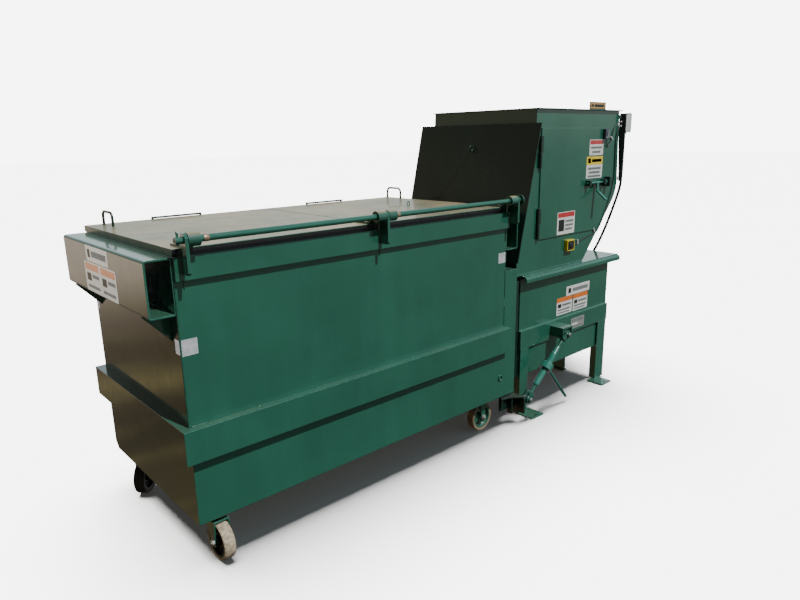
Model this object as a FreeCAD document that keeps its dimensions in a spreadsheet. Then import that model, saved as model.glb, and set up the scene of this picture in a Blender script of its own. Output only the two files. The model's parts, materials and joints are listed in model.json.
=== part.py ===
"""Trash compactor with its docked container, built as one parametric document.

Frame: +X from the container towards the compactor, +Y away from the door side, +Z up.
The origin is on the floor at the centre of the four anchor holes. Units are millimetres.
"""
import FreeCAD, Part
import math
import os
import re
import Sketcher

Vector = FreeCAD.Vector
Rotation = FreeCAD.Rotation

DIMENSIONS = {
    # container shell
    "shell_left": -2485, "shell_right": -656, "shell_half": 460, "shell_low": 195,
    "wall_top": 1250, "lid_drop": 2, "shell_skin": 5, "hip_radius": 32,
    "mouth_half": 412, "mouth_low": 228, "mouth_high": 846,
    "band_low": 473, "band_high": 608, "band_out": 36, "band_end": -635, "band_skin": 4,
    "rail_low": 1164, "rail_out": 20, "rail_skin": 4,
    "pocket_wide": 101, "pocket_low": 1039, "pocket_high": 1249, "pocket_skin": 7,
    "pocket_bend": 12,
    "gusset_deep": 110, "gusset_thick": 8, "gusset_inset": 70,
    "collar_right": -551, "collar_high": 925, "collar_skin": 6,
    # lids and their hinge
    "lid_split": -1555, "lid_far": 505, "lid_gap": 3, "lid_rise": 27, "lid_skin": 4,
    "lid_lift": 0.3,
    "hinge_out": 512, "hinge_high": 1312, "rod_radius": 12.5, "knuckle_radius": 25,
    "knuckle_bore": 12.56, "knuckle_wide": 46,
    "lug_thick": 12, "lug_low": 1190, "lug_crown": 24,
    "lug_left": -2456, "lug_mid": -1551, "lug_far": -650,
    "knuckle_gap": 2, "disc_radius": 29, "disc_thick": 6,
    "grip_radius": 6, "grip_bend": 15, "grip_high": 60, "grip_span": 122,
    "grip_left": -2401, "grip_right": -673,
    "bar_radius": 5, "bar_high": 7, "bar_left": -2172, "bar_right": -1278, "bar_span": 245,
    # casters
    "wheel_radius": 80, "wheel_wide": 48, "core_radius": 66, "hub_radius": 20,
    "hub_wide": 52, "spoke_hole": 13, "spoke_circle": 41,
    "axle_radius": 8, "axle_bore": 8.06, "trail_back": 48, "fork_half": 27.5, "fork_skin": 6,
    "fork_wide": 34, "crown_low": 168, "crown_skin": 6, "race_radius": 36, "race_gap": 0.3,
    "mount_low": 187, "mount_long": 140, "mount_wide": 115,
    "swivel_place": -2391, "fixed_place": -752, "near_left_caster": -386,
    "near_right_caster": -373, "far_caster": 325,
    # compactor body
    "body_left": -451, "body_right": 497, "body_half": 410, "body_low": 245, "body_high": 855,
    "body_skin": 6, "floor_skin": 8, "side_band_low": 415, "side_band_high": 529,
    "side_band_out": 13.5, "roof_left": -495, "roof_right": 566, "roof_skin": 6,
    "roof_half": 438, "trim_half": 454.5, "trim_drop": 33, "trim_skin": 6,
    "trim_leg": 34, "trim_bend": 15,
    "charge_right": 188, "charge_half": 390,
    "throat_left": -645, "throat_high": 830, "throat_half": 404,
    # legs, feet and anchors
    "leg_front": -448, "leg_front_wide": 76, "leg_rear": 392, "leg_rear_wide": 98,
    "leg_skin": 6, "leg_deep": 45, "foot_thick": 10, "foot_long": 114, "foot_wide": 116,
    "anchor_x": 385, "anchor_y": 500, "anchor_radius": 9,
    "foot_inner": 403, "centre_leg": 394, "centre_half": 178,
    # hopper
    "hopper_half": 408, "hopper_far": 383, "hopper_skin": 5, "hopper_low": 861, "hopper_high": 1782,
    "front_low": -489, "front_knee": 1108, "front_bend": -349, "front_shoulder": 1710,
    "front_high": -345, "back_high": 519, "back_knee": 546, "back_shoulder": 1278,
    "back_low": 180, "back_radius": 200, "rim_out": 16, "rim_front": 12, "rim_back": 20, "rim_skin": 5,
    "guard_low": 955, "guard_high": 1707, "guard_foot": -555, "guard_head": -380,
    "guard_half": 465, "guard_skin": 5, "spacer_wide": 30,
    "eye_radius": 15, "eye_wire": 4, "eye_high": 1570,
    "sign_left": 149, "sign_right": 327, "sign_high": 1830, "sign_skin": 3,
    # access door, hinges and latch
    "door_left": -303, "door_right": 355, "door_low": 1052, "door_high": 1680,
    "door_skin": 5, "door_out": 410, "door_cut_x": 305, "door_cut_z": 1102, "door_lap": 20,
    "pivot_x": -314, "pivot_y": 419, "barrel_radius": 9, "pintle_radius": 5,
    "pintle_bore": 5.06, "hinge_a": 1058, "hinge_b": 1461, "hinge_long": 176, "leaf_skin": 3,
    "bolt_high": 1350, "bolt_out": 430, "bolt_radius": 7, "bolt_bore": 7.06,
    "bolt_left": 150, "bolt_right": 430, "guide_wide": 20, "guide_a": 162, "guide_b": 332,
    "guide_half": 17, "keeper_left": 387, "keeper_wide": 24, "keeper_half": 30,
    "handle_place": 266, "handle_bend": 1300, "handle_tip": 1246, "handle_reach": 504, "handle_half": 11,
    # sensors and wiring
    "switch_left": 358, "switch_wide": 24, "switch_low": 1612, "switch_high": 1672,
    "magnet_left": 328, "magnet_wide": 24, "sensor_left": -26, "sensor_wide": 76,
    "sensor_low": 952, "sensor_high": 1018, "sensor_deep": 23, "sensor_bore": 18,
    "box_left": 550, "box_right": 613, "box_near": 444, "box_far": 396,
    "box_low": 1652, "box_high": 1769, "box_lid": 3, "tail_low": 1343,
    "conduit_radius": 8.5, "cable_radius": 3.2,
    # ram and cylinder
    "ram_left": 170, "ram_right": 470, "ram_half": 392, "ram_low": 259, "ram_high": 814,
    "ram_skin": 10, "shoe_low": 253.3, "shoe_wide": 60,
    "cyl_high": 545, "barrel_left": 192, "barrel_right": 690, "barrel_outer": 62,
    "barrel_inner": 52, "stage_outer": 48, "stage_inner": 38, "stage_left": 188,
    "stage_right": 675, "gland_bore": 48.06, "plunger_radius": 32, "stage_bore": 32.06,
    "plunger_left": 180, "plunger_right": 660, "cap_thick": 14,
    "anchor_pin_radius": 16, "anchor_place": 715, "cheek_half": 66, "cheek_skin": 14,
    "cheek_high": 70,
    # hydraulic power unit
    "shelf_right": 740, "shelf_high": 330, "shelf_near": 120, "shelf_far": 420,
    "tank_left": 515, "tank_right": 725, "tank_near": 135, "tank_far": 405, "tank_high": 560,
    "motor_radius": 66, "motor_high": 690, "hose_radius": 8,
    # ratchet binders
    "pin_low_x": -470, "pin_low_z": 138, "pin_high_x": -100, "pin_high_z": 455,
    "binder_out": 499, "ear_half": 6, "ear_round": 22, "jaw_skin": 11, "jaw_radius": 22,
    "jaw_gap": 6.5, "jaw_long": 46, "screw_radius": 11, "screw_long": 150,
    "barrel_start": 98, "barrel_end": 388, "sleeve_radius": 19, "sleeve_bore": 11.06,
    "gear_start": 224, "gear_wide": 30, "gear_radius": 29, "crank_long": 335,
    "crank_radius": 9, "crank_collar": 37, "joint_pin": 9,
    "bracket_left": -157, "bracket_right": -57, "bracket_high": 505, "bracket_low": 443,
    "bracket_out": 516.5, "bracket_skin": 10,
    "catch_left": -517, "catch_low": 92, "catch_high": 172, "catch_plate": 12,
}

os.makedirs("parts", exist_ok=True)
doc = FreeCAD.newDocument("TrashCompactor")
sheet = doc.addObject("Spreadsheet::Sheet", "Dims")
for row, (alias, value) in enumerate(DIMENSIONS.items(), 1):
    sheet.set(f"A{row}", alias)
    sheet.set(f"B{row}", str(value))
    sheet.setAlias(f"B{row}", alias)
scratch = doc.addObject("Spreadsheet::Sheet", "Scratch")
doc.recompute()

AXES = {"x": Vector(1, 0, 0), "y": Vector(0, 1, 0), "z": Vector(0, 0, 1)}
PLANES = {"XY": "XY_Plane", "XZ": "XZ_Plane", "YZ": "YZ_Plane"}
nodes = []


# ---------------------------------------------------------------- building blocks
def linked(formula):
    """A formula with each of its words turned into a reference to the sheet."""
    return re.sub(r"\b[a-z]+(?:_[a-z]+)+\b", r"Dims.\g<0>", str(formula))


def bind(obj, prop, formula):
    """Bind a property to a formula of sheet aliases."""
    obj.setExpression(prop, linked(formula))


def value(formula):
    """The number that a formula of sheet aliases stands for."""
    scratch.set("A1", f"={linked(formula)}")
    doc.recompute([scratch])
    return float(scratch.get("A1"))


def block(x, y, z):
    """A rectangular solid between two formulas on each axis."""
    obj = doc.addObject("Part::Box", "Block")
    for prop, side, (low, high) in zip(("Length", "Width", "Height"), "xyz", (x, y, z)):
        bind(obj, prop, f"({high}) - ({low})")
        bind(obj, f"Placement.Base.{side}", low)
    return obj


def rod(axis, start, radius, length):
    """A cylinder that leaves its start point along +axis."""
    obj = doc.addObject("Part::Cylinder", "Rod")
    obj.Placement.Rotation = Rotation(AXES["z"], AXES[axis])
    for side, place in zip("xyz", start):
        bind(obj, f"Placement.Base.{side}", place)
    bind(obj, "Radius", radius)
    bind(obj, "Height", length)
    return obj


def cut(base, *tools):
    """The base solid with each tool taken out of it."""
    for tool in tools:
        obj = doc.addObject("Part::Cut", "Cut")
        obj.Base, obj.Tool = base, tool
        base = obj
    return base


def fuse(*solids):
    """Several overlapping or touching solids as one."""
    obj = doc.addObject("Part::MultiFuse", "Fuse")
    obj.Shapes = list(solids)
    obj.Refine = True
    return obj


def tube(axis, start, outer, inner, length):
    """A plain bush: one cylinder bored through by another."""
    return cut(rod(axis, start, outer, length), rod(axis, start, inner, length))


def mirrored(solid):
    """The same solid on the other side of the X-Z plane."""
    obj = doc.addObject("Part::Mirroring", "Mirror")
    obj.Source = solid
    obj.Normal = AXES["y"]
    return obj


def sketch_outline(body, plane, points, offset):
    """A closed outline on an origin plane, each corner bound to its two formulas."""
    sketch = body.newObject("Sketcher::SketchObject", "Outline")
    origin = [item for item in body.Origin.OriginFeatures if item.Role == PLANES[plane]][0]
    sketch.AttachmentSupport = [(origin, "")]
    sketch.MapMode = "FlatFace"
    bind(sketch, "AttachmentOffset.Base.z", offset)
    corners = [Vector(value(u), value(w), 0) for u, w in points]
    for start, end in zip(corners, corners[1:] + corners[:1]):
        sketch.addGeometry(Part.LineSegment(start, end))
    for index in range(len(points)):
        sketch.addConstraint(Sketcher.Constraint("Coincident", index, 2, (index + 1) % len(points), 1))
    for index, ((u, w), corner) in enumerate(zip(points, corners)):
        for kind, formula, size in (("DistanceX", u, corner.x), ("DistanceY", w, corner.y)):
            number = sketch.addConstraint(Sketcher.Constraint(kind, -1, 1, index, 1, size))
            bind(sketch, f"Constraints[{number}]", formula)
    return sketch


def profile(plane, points, low, high):
    """A plate of any outline, from low to high along the plane's normal axis."""
    body = doc.addObject("PartDesign::Body", "Plate")
    offset = f"-({high})" if plane == "XZ" else low
    sketch = sketch_outline(body, plane, points, offset)
    pad = body.newObject("PartDesign::Pad", "Pad")
    pad.Profile = sketch
    bind(pad, "Length", f"({high}) - ({low})")
    doc.recompute()
    return body


def rounded(solid, axis, corners, radius):
    """Round the edges of a solid that run along an axis through the given corners."""
    doc.recompute()
    picked = []
    for number, edge in enumerate(solid.Shape.Edges, 1):
        start, end = edge.Vertexes[0].Point, edge.Vertexes[-1].Point
        run = end - start
        if run.Length < 0.1 or abs(run.normalize() * AXES[axis]) < 0.999:
            continue
        place = [part for part, name in zip(start, "xyz") if name != axis]
        if any(math.dist(place, corner) < 0.5 for corner in corners):
            picked.append((number, value(radius), value(radius)))
    fillet = doc.addObject("Part::Fillet", "Bend")
    fillet.Base = solid
    fillet.Edges = picked
    return fillet


def corners_of(first, second):
    """The four corners between two pairs of formulas."""
    return [(value(u), value(w)) for u in first for w in second]


def turned(points):
    """A solid of revolution about +Z, from (radius, height) formulas."""
    body = doc.addObject("PartDesign::Body", "Turned")
    sketch = sketch_outline(body, "XZ", points, "0")
    spin = body.newObject("PartDesign::Revolution", "Spin")
    spin.Profile = sketch
    spin.ReferenceAxis = (sketch, ["V_Axis"])
    spin.Angle = 360
    doc.recompute()
    return body


def placed(obj, place, turn=Rotation()):
    """Put a solid that was made about the origin at three formulas."""
    holder = doc.addObject("Part::Compound", "Placed")
    holder.Links = [obj]
    holder.Placement.Rotation = turn
    for side, formula in zip("xyz", place):
        bind(holder, f"Placement.Base.{side}", formula)
    return holder


def node(label, *solids):
    """Name a finished sub-part and keep it for the export."""
    obj = doc.addObject("Part::Compound", "Node")
    obj.Links = list(solids)
    obj.Label = label
    nodes.append(obj)


def routed_tube(name, points, radius):
    """A tube along straight runs joined by tangent arcs as large as the runs allow."""
    route = [Vector(*point) for point in points]
    edges, here, radii = [], route[0], []
    for before, corner, after in zip(route, route[1:], route[2:]):
        arrive, leave = (before - corner).normalize(), (after - corner).normalize()
        turn = math.pi - arrive.getAngle(leave)
        reach = 0.45 * min((corner - before).Length, (after - corner).Length)
        bend = reach / math.tan(turn / 2)
        radii.append(bend)
        start, end = corner + arrive * reach, corner + leave * reach
        inward = (arrive + leave).normalize()
        middle = corner + inward * (bend / math.cos(turn / 2) - bend)
        edges += [Part.LineSegment(here, start).toShape(), Part.Arc(start, middle, end).toShape()]
        here = end
    edges.append(Part.LineSegment(here, route[-1]).toShape())
    spine = Part.Wire(edges)
    section = Part.Wire(Part.makeCircle(radius, route[0], route[1] - route[0]))
    obj = doc.addObject("Part::Feature", "Tube")
    obj.Shape = spine.makePipeShell([section], True, False)
    ratio = obj.Shape.Volume / (math.pi * radius ** 2 * spine.Length)
    smallest = min(radii) if radii else 0
    print(f"{name}: smallest bend {smallest:.0f} mm, volume ratio {ratio:.3f}")
    return obj


# ---------------------------------------------------------------- container
SHELL_X = ("shell_left", "shell_right")
INNER_X = ("shell_left + shell_skin", "shell_right - shell_skin")
INNER_HALF = "shell_half - shell_skin"


def container_shell():
    near = block(SHELL_X, ("-shell_half", f"-({INNER_HALF})"), ("shell_low", "wall_top"))
    far = block(SHELL_X, (INNER_HALF, "shell_half"),
                ("shell_low + hip_radius", "wall_top - lid_drop"))
    ends = []
    for low, high in (("shell_left", "shell_left + shell_skin"),
                      ("shell_right - shell_skin", "shell_right")):
        ends.append(profile("YZ", [
            (f"-({INNER_HALF})", "shell_low"),
            ("shell_half - hip_radius", "shell_low"),
            (INNER_HALF, "shell_low + hip_radius - shell_skin"),
            (INNER_HALF, "wall_top - lid_drop"),
            (f"-({INNER_HALF})", "wall_top")], low, high))
    mouth = block(("shell_right - 2 * shell_skin", "shell_right + shell_skin"),
                  ("-mouth_half", "mouth_half"), ("mouth_low", "mouth_high"))
    floor = block(INNER_X, (f"-({INNER_HALF})", "shell_half - hip_radius"),
                  ("shell_low", "shell_low + shell_skin"))
    hip = profile("YZ", [
        ("shell_half - hip_radius", "shell_low"), ("shell_half", "shell_low + hip_radius"),
        (INNER_HALF, "shell_low + hip_radius"),
        ("shell_half - hip_radius", "shell_low + shell_skin")], *INNER_X)
    node("container_shell", near, far, ends[0], cut(ends[1], mouth), floor, hip)


def hollow_bar(x, y, z, open_side, skin):
    """A channel that is closed by the wall it is welded to."""
    hollow = {"x": [f"{x[0]} + {skin}", f"{x[1]} - {skin}"],
              "y": [f"{y[0]} + {skin}", f"{y[1]} - {skin}"],
              "z": [f"{z[0]} + {skin}", f"{z[1]} - {skin}"]}
    axis, end = open_side
    hollow[axis][end] = (x, y, z)["xyz".index(axis)][end]
    return cut(block(x, y, z), block(hollow["x"], hollow["y"], hollow["z"]))


def container_band():
    heights = ("band_low", "band_high")
    near = hollow_bar(("shell_left - band_out", "band_end"),
                      ("-(shell_half + band_out)", "-shell_half"), heights, ("y", 1), "band_skin")
    left = hollow_bar(("shell_left - band_out", "shell_left"),
                      ("-shell_half", "shell_half"), heights, ("x", 1), "band_skin")
    node("container_band", near, left, mirrored(near))


def container_top_rails():
    near = hollow_bar(SHELL_X, ("-(shell_half + rail_out)", "-shell_half"),
                      ("rail_low", "wall_top"), ("y", 1), "rail_skin")
    far = hollow_bar(SHELL_X, ("shell_half", "shell_half + rail_out"),
                     ("rail_low", "wall_top - lid_drop"), ("y", 0), "rail_skin")
    node("container_top_rails", near, far, *lid_hinge_lugs())


def fork_pockets():
    solids = []
    for left, wall in (("shell_left - pocket_wide", "shell_left"), ("shell_right", "shell_right")):
        right = f"({left}) + pocket_wide"
        outer = block((left, right), ("-shell_half", "shell_half"), ("pocket_low", "pocket_high"))
        inner = block((f"({left}) + pocket_skin", f"({right}) - pocket_skin"),
                      ("-shell_half", "shell_half"),
                      ("pocket_low + pocket_skin", "pocket_high - pocket_skin"))
        sides = (left, right)
        outer = rounded(outer, "y", corners_of(sides, ("pocket_low", "pocket_high")), "pocket_bend")
        solids.append(cut(outer, inner))
        tip = left if wall == "shell_left" else right
        for low in ("-shell_half + gusset_inset", "shell_half - gusset_inset - gusset_thick"):
            solids.append(profile("XZ", [(wall, "pocket_low - gusset_deep"),
                                         (wall, "pocket_low"), (tip, "pocket_low")],
                                  low, f"({low}) + gusset_thick"))
    node("fork_pockets", *solids)


def docking_collar():
    along = ("shell_right", "collar_right")
    near = block(along, ("-shell_half", "-shell_half + collar_skin"), ("shell_low", "collar_high"))
    across = ("-shell_half + collar_skin", "shell_half - collar_skin")
    top = block(along, across, ("collar_high - collar_skin", "collar_high"))
    bottom = block(along, across, ("shell_low", "shell_low + collar_skin"))
    node("docking_collar", near, mirrored(near), top, bottom)


def hinge_lug(middle, root):
    """A plate welded to the rail that carries the hinge rod, rounded about the rod."""
    left, right = f"{middle} - lug_thick / 2", f"{middle} + lug_thick / 2"
    plate = profile("YZ", [
        (f"-({root})", "lug_low"), ("-(hinge_out + lug_crown - 7)", "lug_low"),
        ("-(hinge_out + lug_crown)", "lug_low + 8"),
        ("-(hinge_out + lug_crown)", "hinge_high + 8"),
        ("-(hinge_out + 14)", "hinge_high + lug_crown - 5"),
        ("-(hinge_out + 6)", "hinge_high + lug_crown"),
        ("-(hinge_out - 6)", "hinge_high + lug_crown"),
        ("-(hinge_out - 14)", "hinge_high + lug_crown - 5"),
        ("-(hinge_out - lug_crown)", "hinge_high + 4"),
        (f"-({root})", "wall_top - 4")], left, right)
    bore = rod("x", (f"{left} - 1", "-hinge_out", "hinge_high"), "rod_radius", "lug_thick + 2")
    return cut(plate, bore)


def lid_hinge_lugs():
    rail_face = "shell_half + rail_out"
    return [hinge_lug("lug_left", rail_face), hinge_lug("lug_mid", rail_face),
            hinge_lug("lug_far", "shell_half")]


def lid_hinge_rod():
    start = ("lug_left - 34", "-hinge_out", "hinge_high")
    shaft = rod("x", start, "rod_radius", "lug_far - lug_left + 34 + 32")
    disc = rod("x", ("lug_far + 32", "-hinge_out", "hinge_high"), "disc_radius", "disc_thick")
    cotter = rod("z", ("lug_left - 20", "-hinge_out", "hinge_high - 24"), 2.5, 50)
    node("lid_hinge_rod", fuse(shaft, disc, cotter))


def lid_knuckle(low, high):
    """A bush round the hinge rod with the strap that ties it to the lid."""
    bush = tube("x", (low, "-hinge_out", "hinge_high"), "knuckle_radius", "knuckle_bore",
                f"({high}) - ({low})")
    strap = profile("YZ", [
        ("-(hinge_out - 18)", "hinge_high - 12"), ("-(hinge_out - 18)", "hinge_high"),
        ("-(shell_half - 10)", "wall_top + lid_rise + 10"),
        ("-(shell_half - 90)", "wall_top + lid_rise + 8"),
        ("-(shell_half - 90)", "wall_top + lid_rise - lid_drop * 90 / (shell_half + lid_far)"),
        ("-(shell_half)", "wall_top + lid_rise")], low, high)
    return fuse(bush, strap)


def lid_pan(left, right):
    """A shallow pan lid that reaches over the far rail."""
    top = "wall_top + lid_rise"
    low, inner_top = "wall_top + lid_lift", "wall_top + lid_rise - lid_skin"
    plate = profile("YZ", [("-shell_half", inner_top), ("-shell_half", top),
                           ("lid_far", f"{top} - lid_drop"),
                           ("lid_far", f"{inner_top} - lid_drop")], left, right)
    near = block((left, right), ("-shell_half", "-shell_half + lid_skin"), (low, inner_top))
    far = block((left, right), ("lid_far - lid_skin", "lid_far"),
                (f"{low} - lid_drop", f"{inner_top} - lid_drop"))
    skirts = [near, far]
    for start in (left, f"{right} - lid_skin"):
        skirts.append(profile("YZ", [
            ("-shell_half + lid_skin", low), ("-shell_half + lid_skin", inner_top),
            ("lid_far - lid_skin", f"{inner_top} - lid_drop"),
            ("lid_far - lid_skin", f"{low} - lid_drop")], start, f"({start}) + lid_skin"))
    return plate, skirts


def lid_grips(place, bar):
    """The loop handle near the far corner and the low bar along the far edge."""
    foot = "wall_top + lid_rise - 1.69"
    x, low, high = value(place), value(foot), value(f"{foot} + grip_high")
    near_leg, far_leg = value("lid_far - 20 - grip_span"), value("lid_far - 20")
    bend = value("grip_bend")
    loop = routed_tube("lid grip", [(x, near_leg, low), (x, near_leg, high - bend),
                                    (x, near_leg + bend, high), (x, far_leg - bend, high),
                                    (x, far_leg, high - bend), (x, far_leg, low)], value("grip_radius"))
    height = f"{foot} + bar_high"
    line = "lid_far - 8"
    low_bar = fuse(rod("z", (bar, line, foot), "bar_radius", "bar_high"),
                   rod("z", (f"{bar} + bar_span", line, foot), "bar_radius", "bar_high"),
                   rod("x", (f"{bar} - bar_radius", line, height), "bar_radius",
                       "bar_span + 2 * bar_radius"))
    return loop, low_bar


def lids():
    stations = {
        "left_lid": ("shell_left + lid_gap", "lid_split - lid_gap",
                     "lug_left + lug_thick / 2 + knuckle_gap",
                     "lug_mid - lug_thick / 2 - knuckle_gap - knuckle_wide"),
        "right_lid": ("lid_split + lid_gap", "shell_right - lid_gap",
                      "lug_mid + lug_thick / 2 + knuckle_gap",
                      "lug_far - lug_thick / 2 - knuckle_gap - knuckle_wide"),
    }
    for label, (left, right, knuckle_a, knuckle_b) in stations.items():
        plate, skirts = lid_pan(left, right)
        knuckles = [lid_knuckle(k, f"({k}) + knuckle_wide") for k in (knuckle_a, knuckle_b)]
        node(label, plate, *skirts, *knuckles)
    node("left_lid_grips", *lid_grips("grip_left", "bar_left"))
    node("right_lid_grips", *lid_grips("grip_right", "bar_right"))


# ---------------------------------------------------------------- casters
CASTERS = {
    "near_left": ("swivel_place", "near_left_caster", -90),
    "far_left": ("swivel_place", "far_caster", 227.5),
    "near_right": ("fixed_place", "near_right_caster", None),
    "far_right": ("fixed_place", "far_caster", None),
}


def caster_fork(trail, swivel):
    """Crown, two legs and the axle bolt of a caster, about its swivel axis."""
    lift = "race_gap" if swivel else "0"
    crown = block(("-fork_half - fork_skin", f"{trail} + fork_wide / 2"),
                  ("-fork_half - fork_skin", "fork_half + fork_skin"),
                  ("crown_low", "crown_low + crown_skin"))
    race = rod("z", ("0", "0", "crown_low + 1"), "race_radius", f"mount_low - crown_low - 1 - {lift}")
    solids = [crown, race]
    for side in ("-(fork_half + fork_skin)", "fork_half"):
        solids.append(profile("XZ", [
            (f"{trail} - fork_wide / 3", "wheel_radius - 18"),
            (f"{trail} + fork_wide / 3", "wheel_radius - 18"),
            (f"{trail} + fork_wide / 2", "crown_low"), ("-fork_half", "crown_low")],
            side, f"({side}) + fork_skin"))
    bolt = rod("y", (trail, "-(fork_half + fork_skin + 9)", "wheel_radius"), "axle_radius",
               "2 * (fork_half + fork_skin + 9)")
    return fuse(*solids, bolt)


def caster_wheel():
    """Spoke-plate core of a wheel about the origin, axis along Y."""
    core = turned([("axle_bore", "-hub_wide / 2"), ("hub_radius", "-hub_wide / 2"),
                   ("hub_radius + 2", "-8"), ("core_radius - 8", "-8"),
                   ("core_radius - 8", "-wheel_wide / 2 + 2"), ("core_radius", "-wheel_wide / 2 + 2"),
                   ("core_radius", "wheel_wide / 2 - 2"), ("core_radius - 8", "wheel_wide / 2 - 2"),
                   ("core_radius - 8", "8"), ("hub_radius + 2", "8"),
                   ("hub_radius", "hub_wide / 2"), ("axle_bore", "hub_wide / 2")])
    for step in range(6):
        angle = math.radians(60 * step)
        spot = (f"spoke_circle * {math.cos(angle):.6f}", f"spoke_circle * {math.sin(angle):.6f}", "-20")
        core = cut(core, rod("z", spot, "spoke_hole", 40))
    tread = turned([("core_radius", "-wheel_wide / 2 + 2"), ("wheel_radius - 3", "-wheel_wide / 2"),
                    ("wheel_radius", "-wheel_wide / 2 + 5"), ("wheel_radius", "wheel_wide / 2 - 5"),
                    ("wheel_radius - 3", "wheel_wide / 2"), ("core_radius", "wheel_wide / 2 - 2")])
    return core, tread


def casters():
    plates, fixed_forks = [], []
    for name, (x, y, angle) in CASTERS.items():
        plate = block((f"{x} - mount_long / 2", f"{x} + mount_long / 2"),
                      (f"{y} - mount_wide / 2", f"{y} + mount_wide / 2"), ("mount_low", "shell_low"))
        plates.append(plate)
        turn = Rotation(AXES["z"], angle or 0)
        reach = turn.multVec(Vector(1, 0, 0))
        trail = "trail_back" if angle is not None else "0"
        fork = placed(caster_fork(trail, angle is not None), (x, y, "0"), turn)
        if angle is None:
            fixed_forks.append(fork)
        else:
            node(f"{name}_caster_fork", fork)
        centre = (f"{x} + {trail} * {reach.x:.6f}", f"{y} + {trail} * {reach.y:.6f}", "wheel_radius")
        upright = turn.multiply(Rotation(AXES["z"], AXES["y"]))
        core, tread = caster_wheel()
        node(f"{name}_wheel", placed(core, centre, upright))
        node(f"{name}_tread", placed(tread, centre, upright))
    node("caster_mounts", *plates, *fixed_forks)


# ---------------------------------------------------------------- compactor body
def compactor_body():
    near = block(("body_left", "body_right"), ("-body_half", "-body_half + body_skin"),
                 ("body_low", "body_high"))
    band = block(("body_left", "body_right"), ("-(body_half + side_band_out)", "-body_half"),
                 ("side_band_low", "side_band_high"))
    node("body_sides", near, mirrored(near), band, mirrored(band))
    inner = ("-body_half + body_skin", "body_half - body_skin")
    node("charge_floor", block(("body_left", "body_right"), inner,
                               ("body_low", "body_low + floor_skin")))
    rear = block(("body_right - body_skin", "body_right"), inner,
                 ("body_low + floor_skin", "body_high"))
    node("rear_wall", cut(rear, rod("x", ("body_right - 50", "0", "cyl_high"),
                                    "barrel_outer + 4", 100)))
    heights = ("body_high", "body_high + roof_skin")
    lip = block(("roof_left", "body_left"), ("-hopper_half", "hopper_half"), heights)
    front = block(("body_left", "body_left + 12"), ("-charge_half", "charge_half"), heights)
    near_strip = block(("body_left", "charge_right"), ("-roof_half", "-charge_half"), heights)
    back = block(("charge_right", "roof_right"), ("-roof_half", "roof_half"), heights)
    node("roof", lip, front, near_strip, mirrored(near_strip), back, *roof_trim())


def roof_trim():
    """Rounded angle under the roof's edge on the two sides and the rear."""
    top = block(("body_left", "roof_right"), ("-trim_half", "-trim_half + trim_leg"),
                ("body_high - trim_skin", "body_high"))
    drop = block(("body_left", "roof_right"), ("-trim_half", "-trim_half + trim_skin"),
                 ("body_high - trim_drop", "body_high - trim_skin"))
    near = rounded(fuse(top, drop), "x", [(value("-trim_half"), value("body_high"))], "trim_bend")
    near = rounded(near, "x", [(value("-trim_half + trim_skin"), value("body_high - trim_skin"))],
                   "trim_bend - trim_skin")
    rear_top = block(("roof_right - trim_leg", "roof_right"),
                     ("-trim_half + trim_leg", "trim_half - trim_leg"),
                     ("body_high - trim_skin", "body_high"))
    rear_drop = block(("roof_right - trim_skin", "roof_right"),
                      ("-trim_half + trim_leg", "trim_half - trim_leg"),
                      ("body_high - trim_drop", "body_high - trim_skin"))
    return near, mirrored(near), fuse(rear_top, rear_drop)


def throat():
    """The snout that reaches into the container's collar."""
    along = ("throat_left", "body_left")
    inner = ("-throat_half + body_skin", "throat_half - body_skin")
    side = block(along, ("-throat_half", "-throat_half + body_skin"), ("body_low", "throat_high"))
    floor = block(along, inner, ("body_low", "body_low + floor_skin"))
    top = block(along, inner, ("throat_high - body_skin", "throat_high"))
    brow = block(("body_left", "body_left + 12"), ("-body_half + body_skin", "body_half - body_skin"),
                 ("throat_high - body_skin", "body_high"))
    node("throat", side, mirrored(side), floor, top, brow)


def channel_leg(left, wide, high):
    """An upright channel with its web on the outside of the machine."""
    face = "body_half + side_band_out"
    heights = ("foot_thick", high)
    web = block((left, f"{left} + {wide}"), (f"-({face})", f"-({face}) + leg_skin"), heights)
    flanges = [block((start, f"({start}) + leg_skin"),
                     (f"-({face}) + leg_skin", f"-({face}) + leg_deep"),
                     ("foot_thick", "body_low"))
               for start in (left, f"{left} + {wide} - leg_skin")]
    return fuse(web, *flanges)


def legs_and_feet():
    front = channel_leg("leg_front", "leg_front_wide", "side_band_low")
    rear = channel_leg("leg_rear", "leg_rear_wide", "side_band_low")
    centre = block(("centre_leg", "centre_leg + 10"), ("-centre_half", "centre_half"),
                   ("foot_thick", "body_low"))
    feet = []
    for x in ("-anchor_x", "anchor_x"):
        pad = block((f"{x} - foot_long / 2", f"{x} + foot_long / 2"),
                    ("-(foot_inner + foot_wide)", "-foot_inner"), ("0", "foot_thick"))
        foot = cut(pad, rod("z", (x, "-anchor_y", "-1"), "anchor_radius", "foot_thick + 2"))
        feet += [foot, mirrored(foot)]
    feet.append(block(("centre_leg - 20", "centre_leg + 30"), ("-centre_half", "centre_half"),
                      ("0", "foot_thick")))
    node("legs", front, mirrored(front), rear, mirrored(rear), centre, *feet)


# ---------------------------------------------------------------- hopper
def hopper_side(low, high):
    plate = profile("XZ", [
        ("front_low", "hopper_low"), ("front_low", "front_knee"),
        ("front_bend", "front_shoulder"), ("front_high", "hopper_high"),
        ("back_high", "hopper_high"), ("back_knee", "back_shoulder"), ("back_low", "hopper_low")],
        low, high)
    return rounded(plate, "y", [(value("back_knee"), value("back_shoulder"))], "back_radius")


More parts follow.
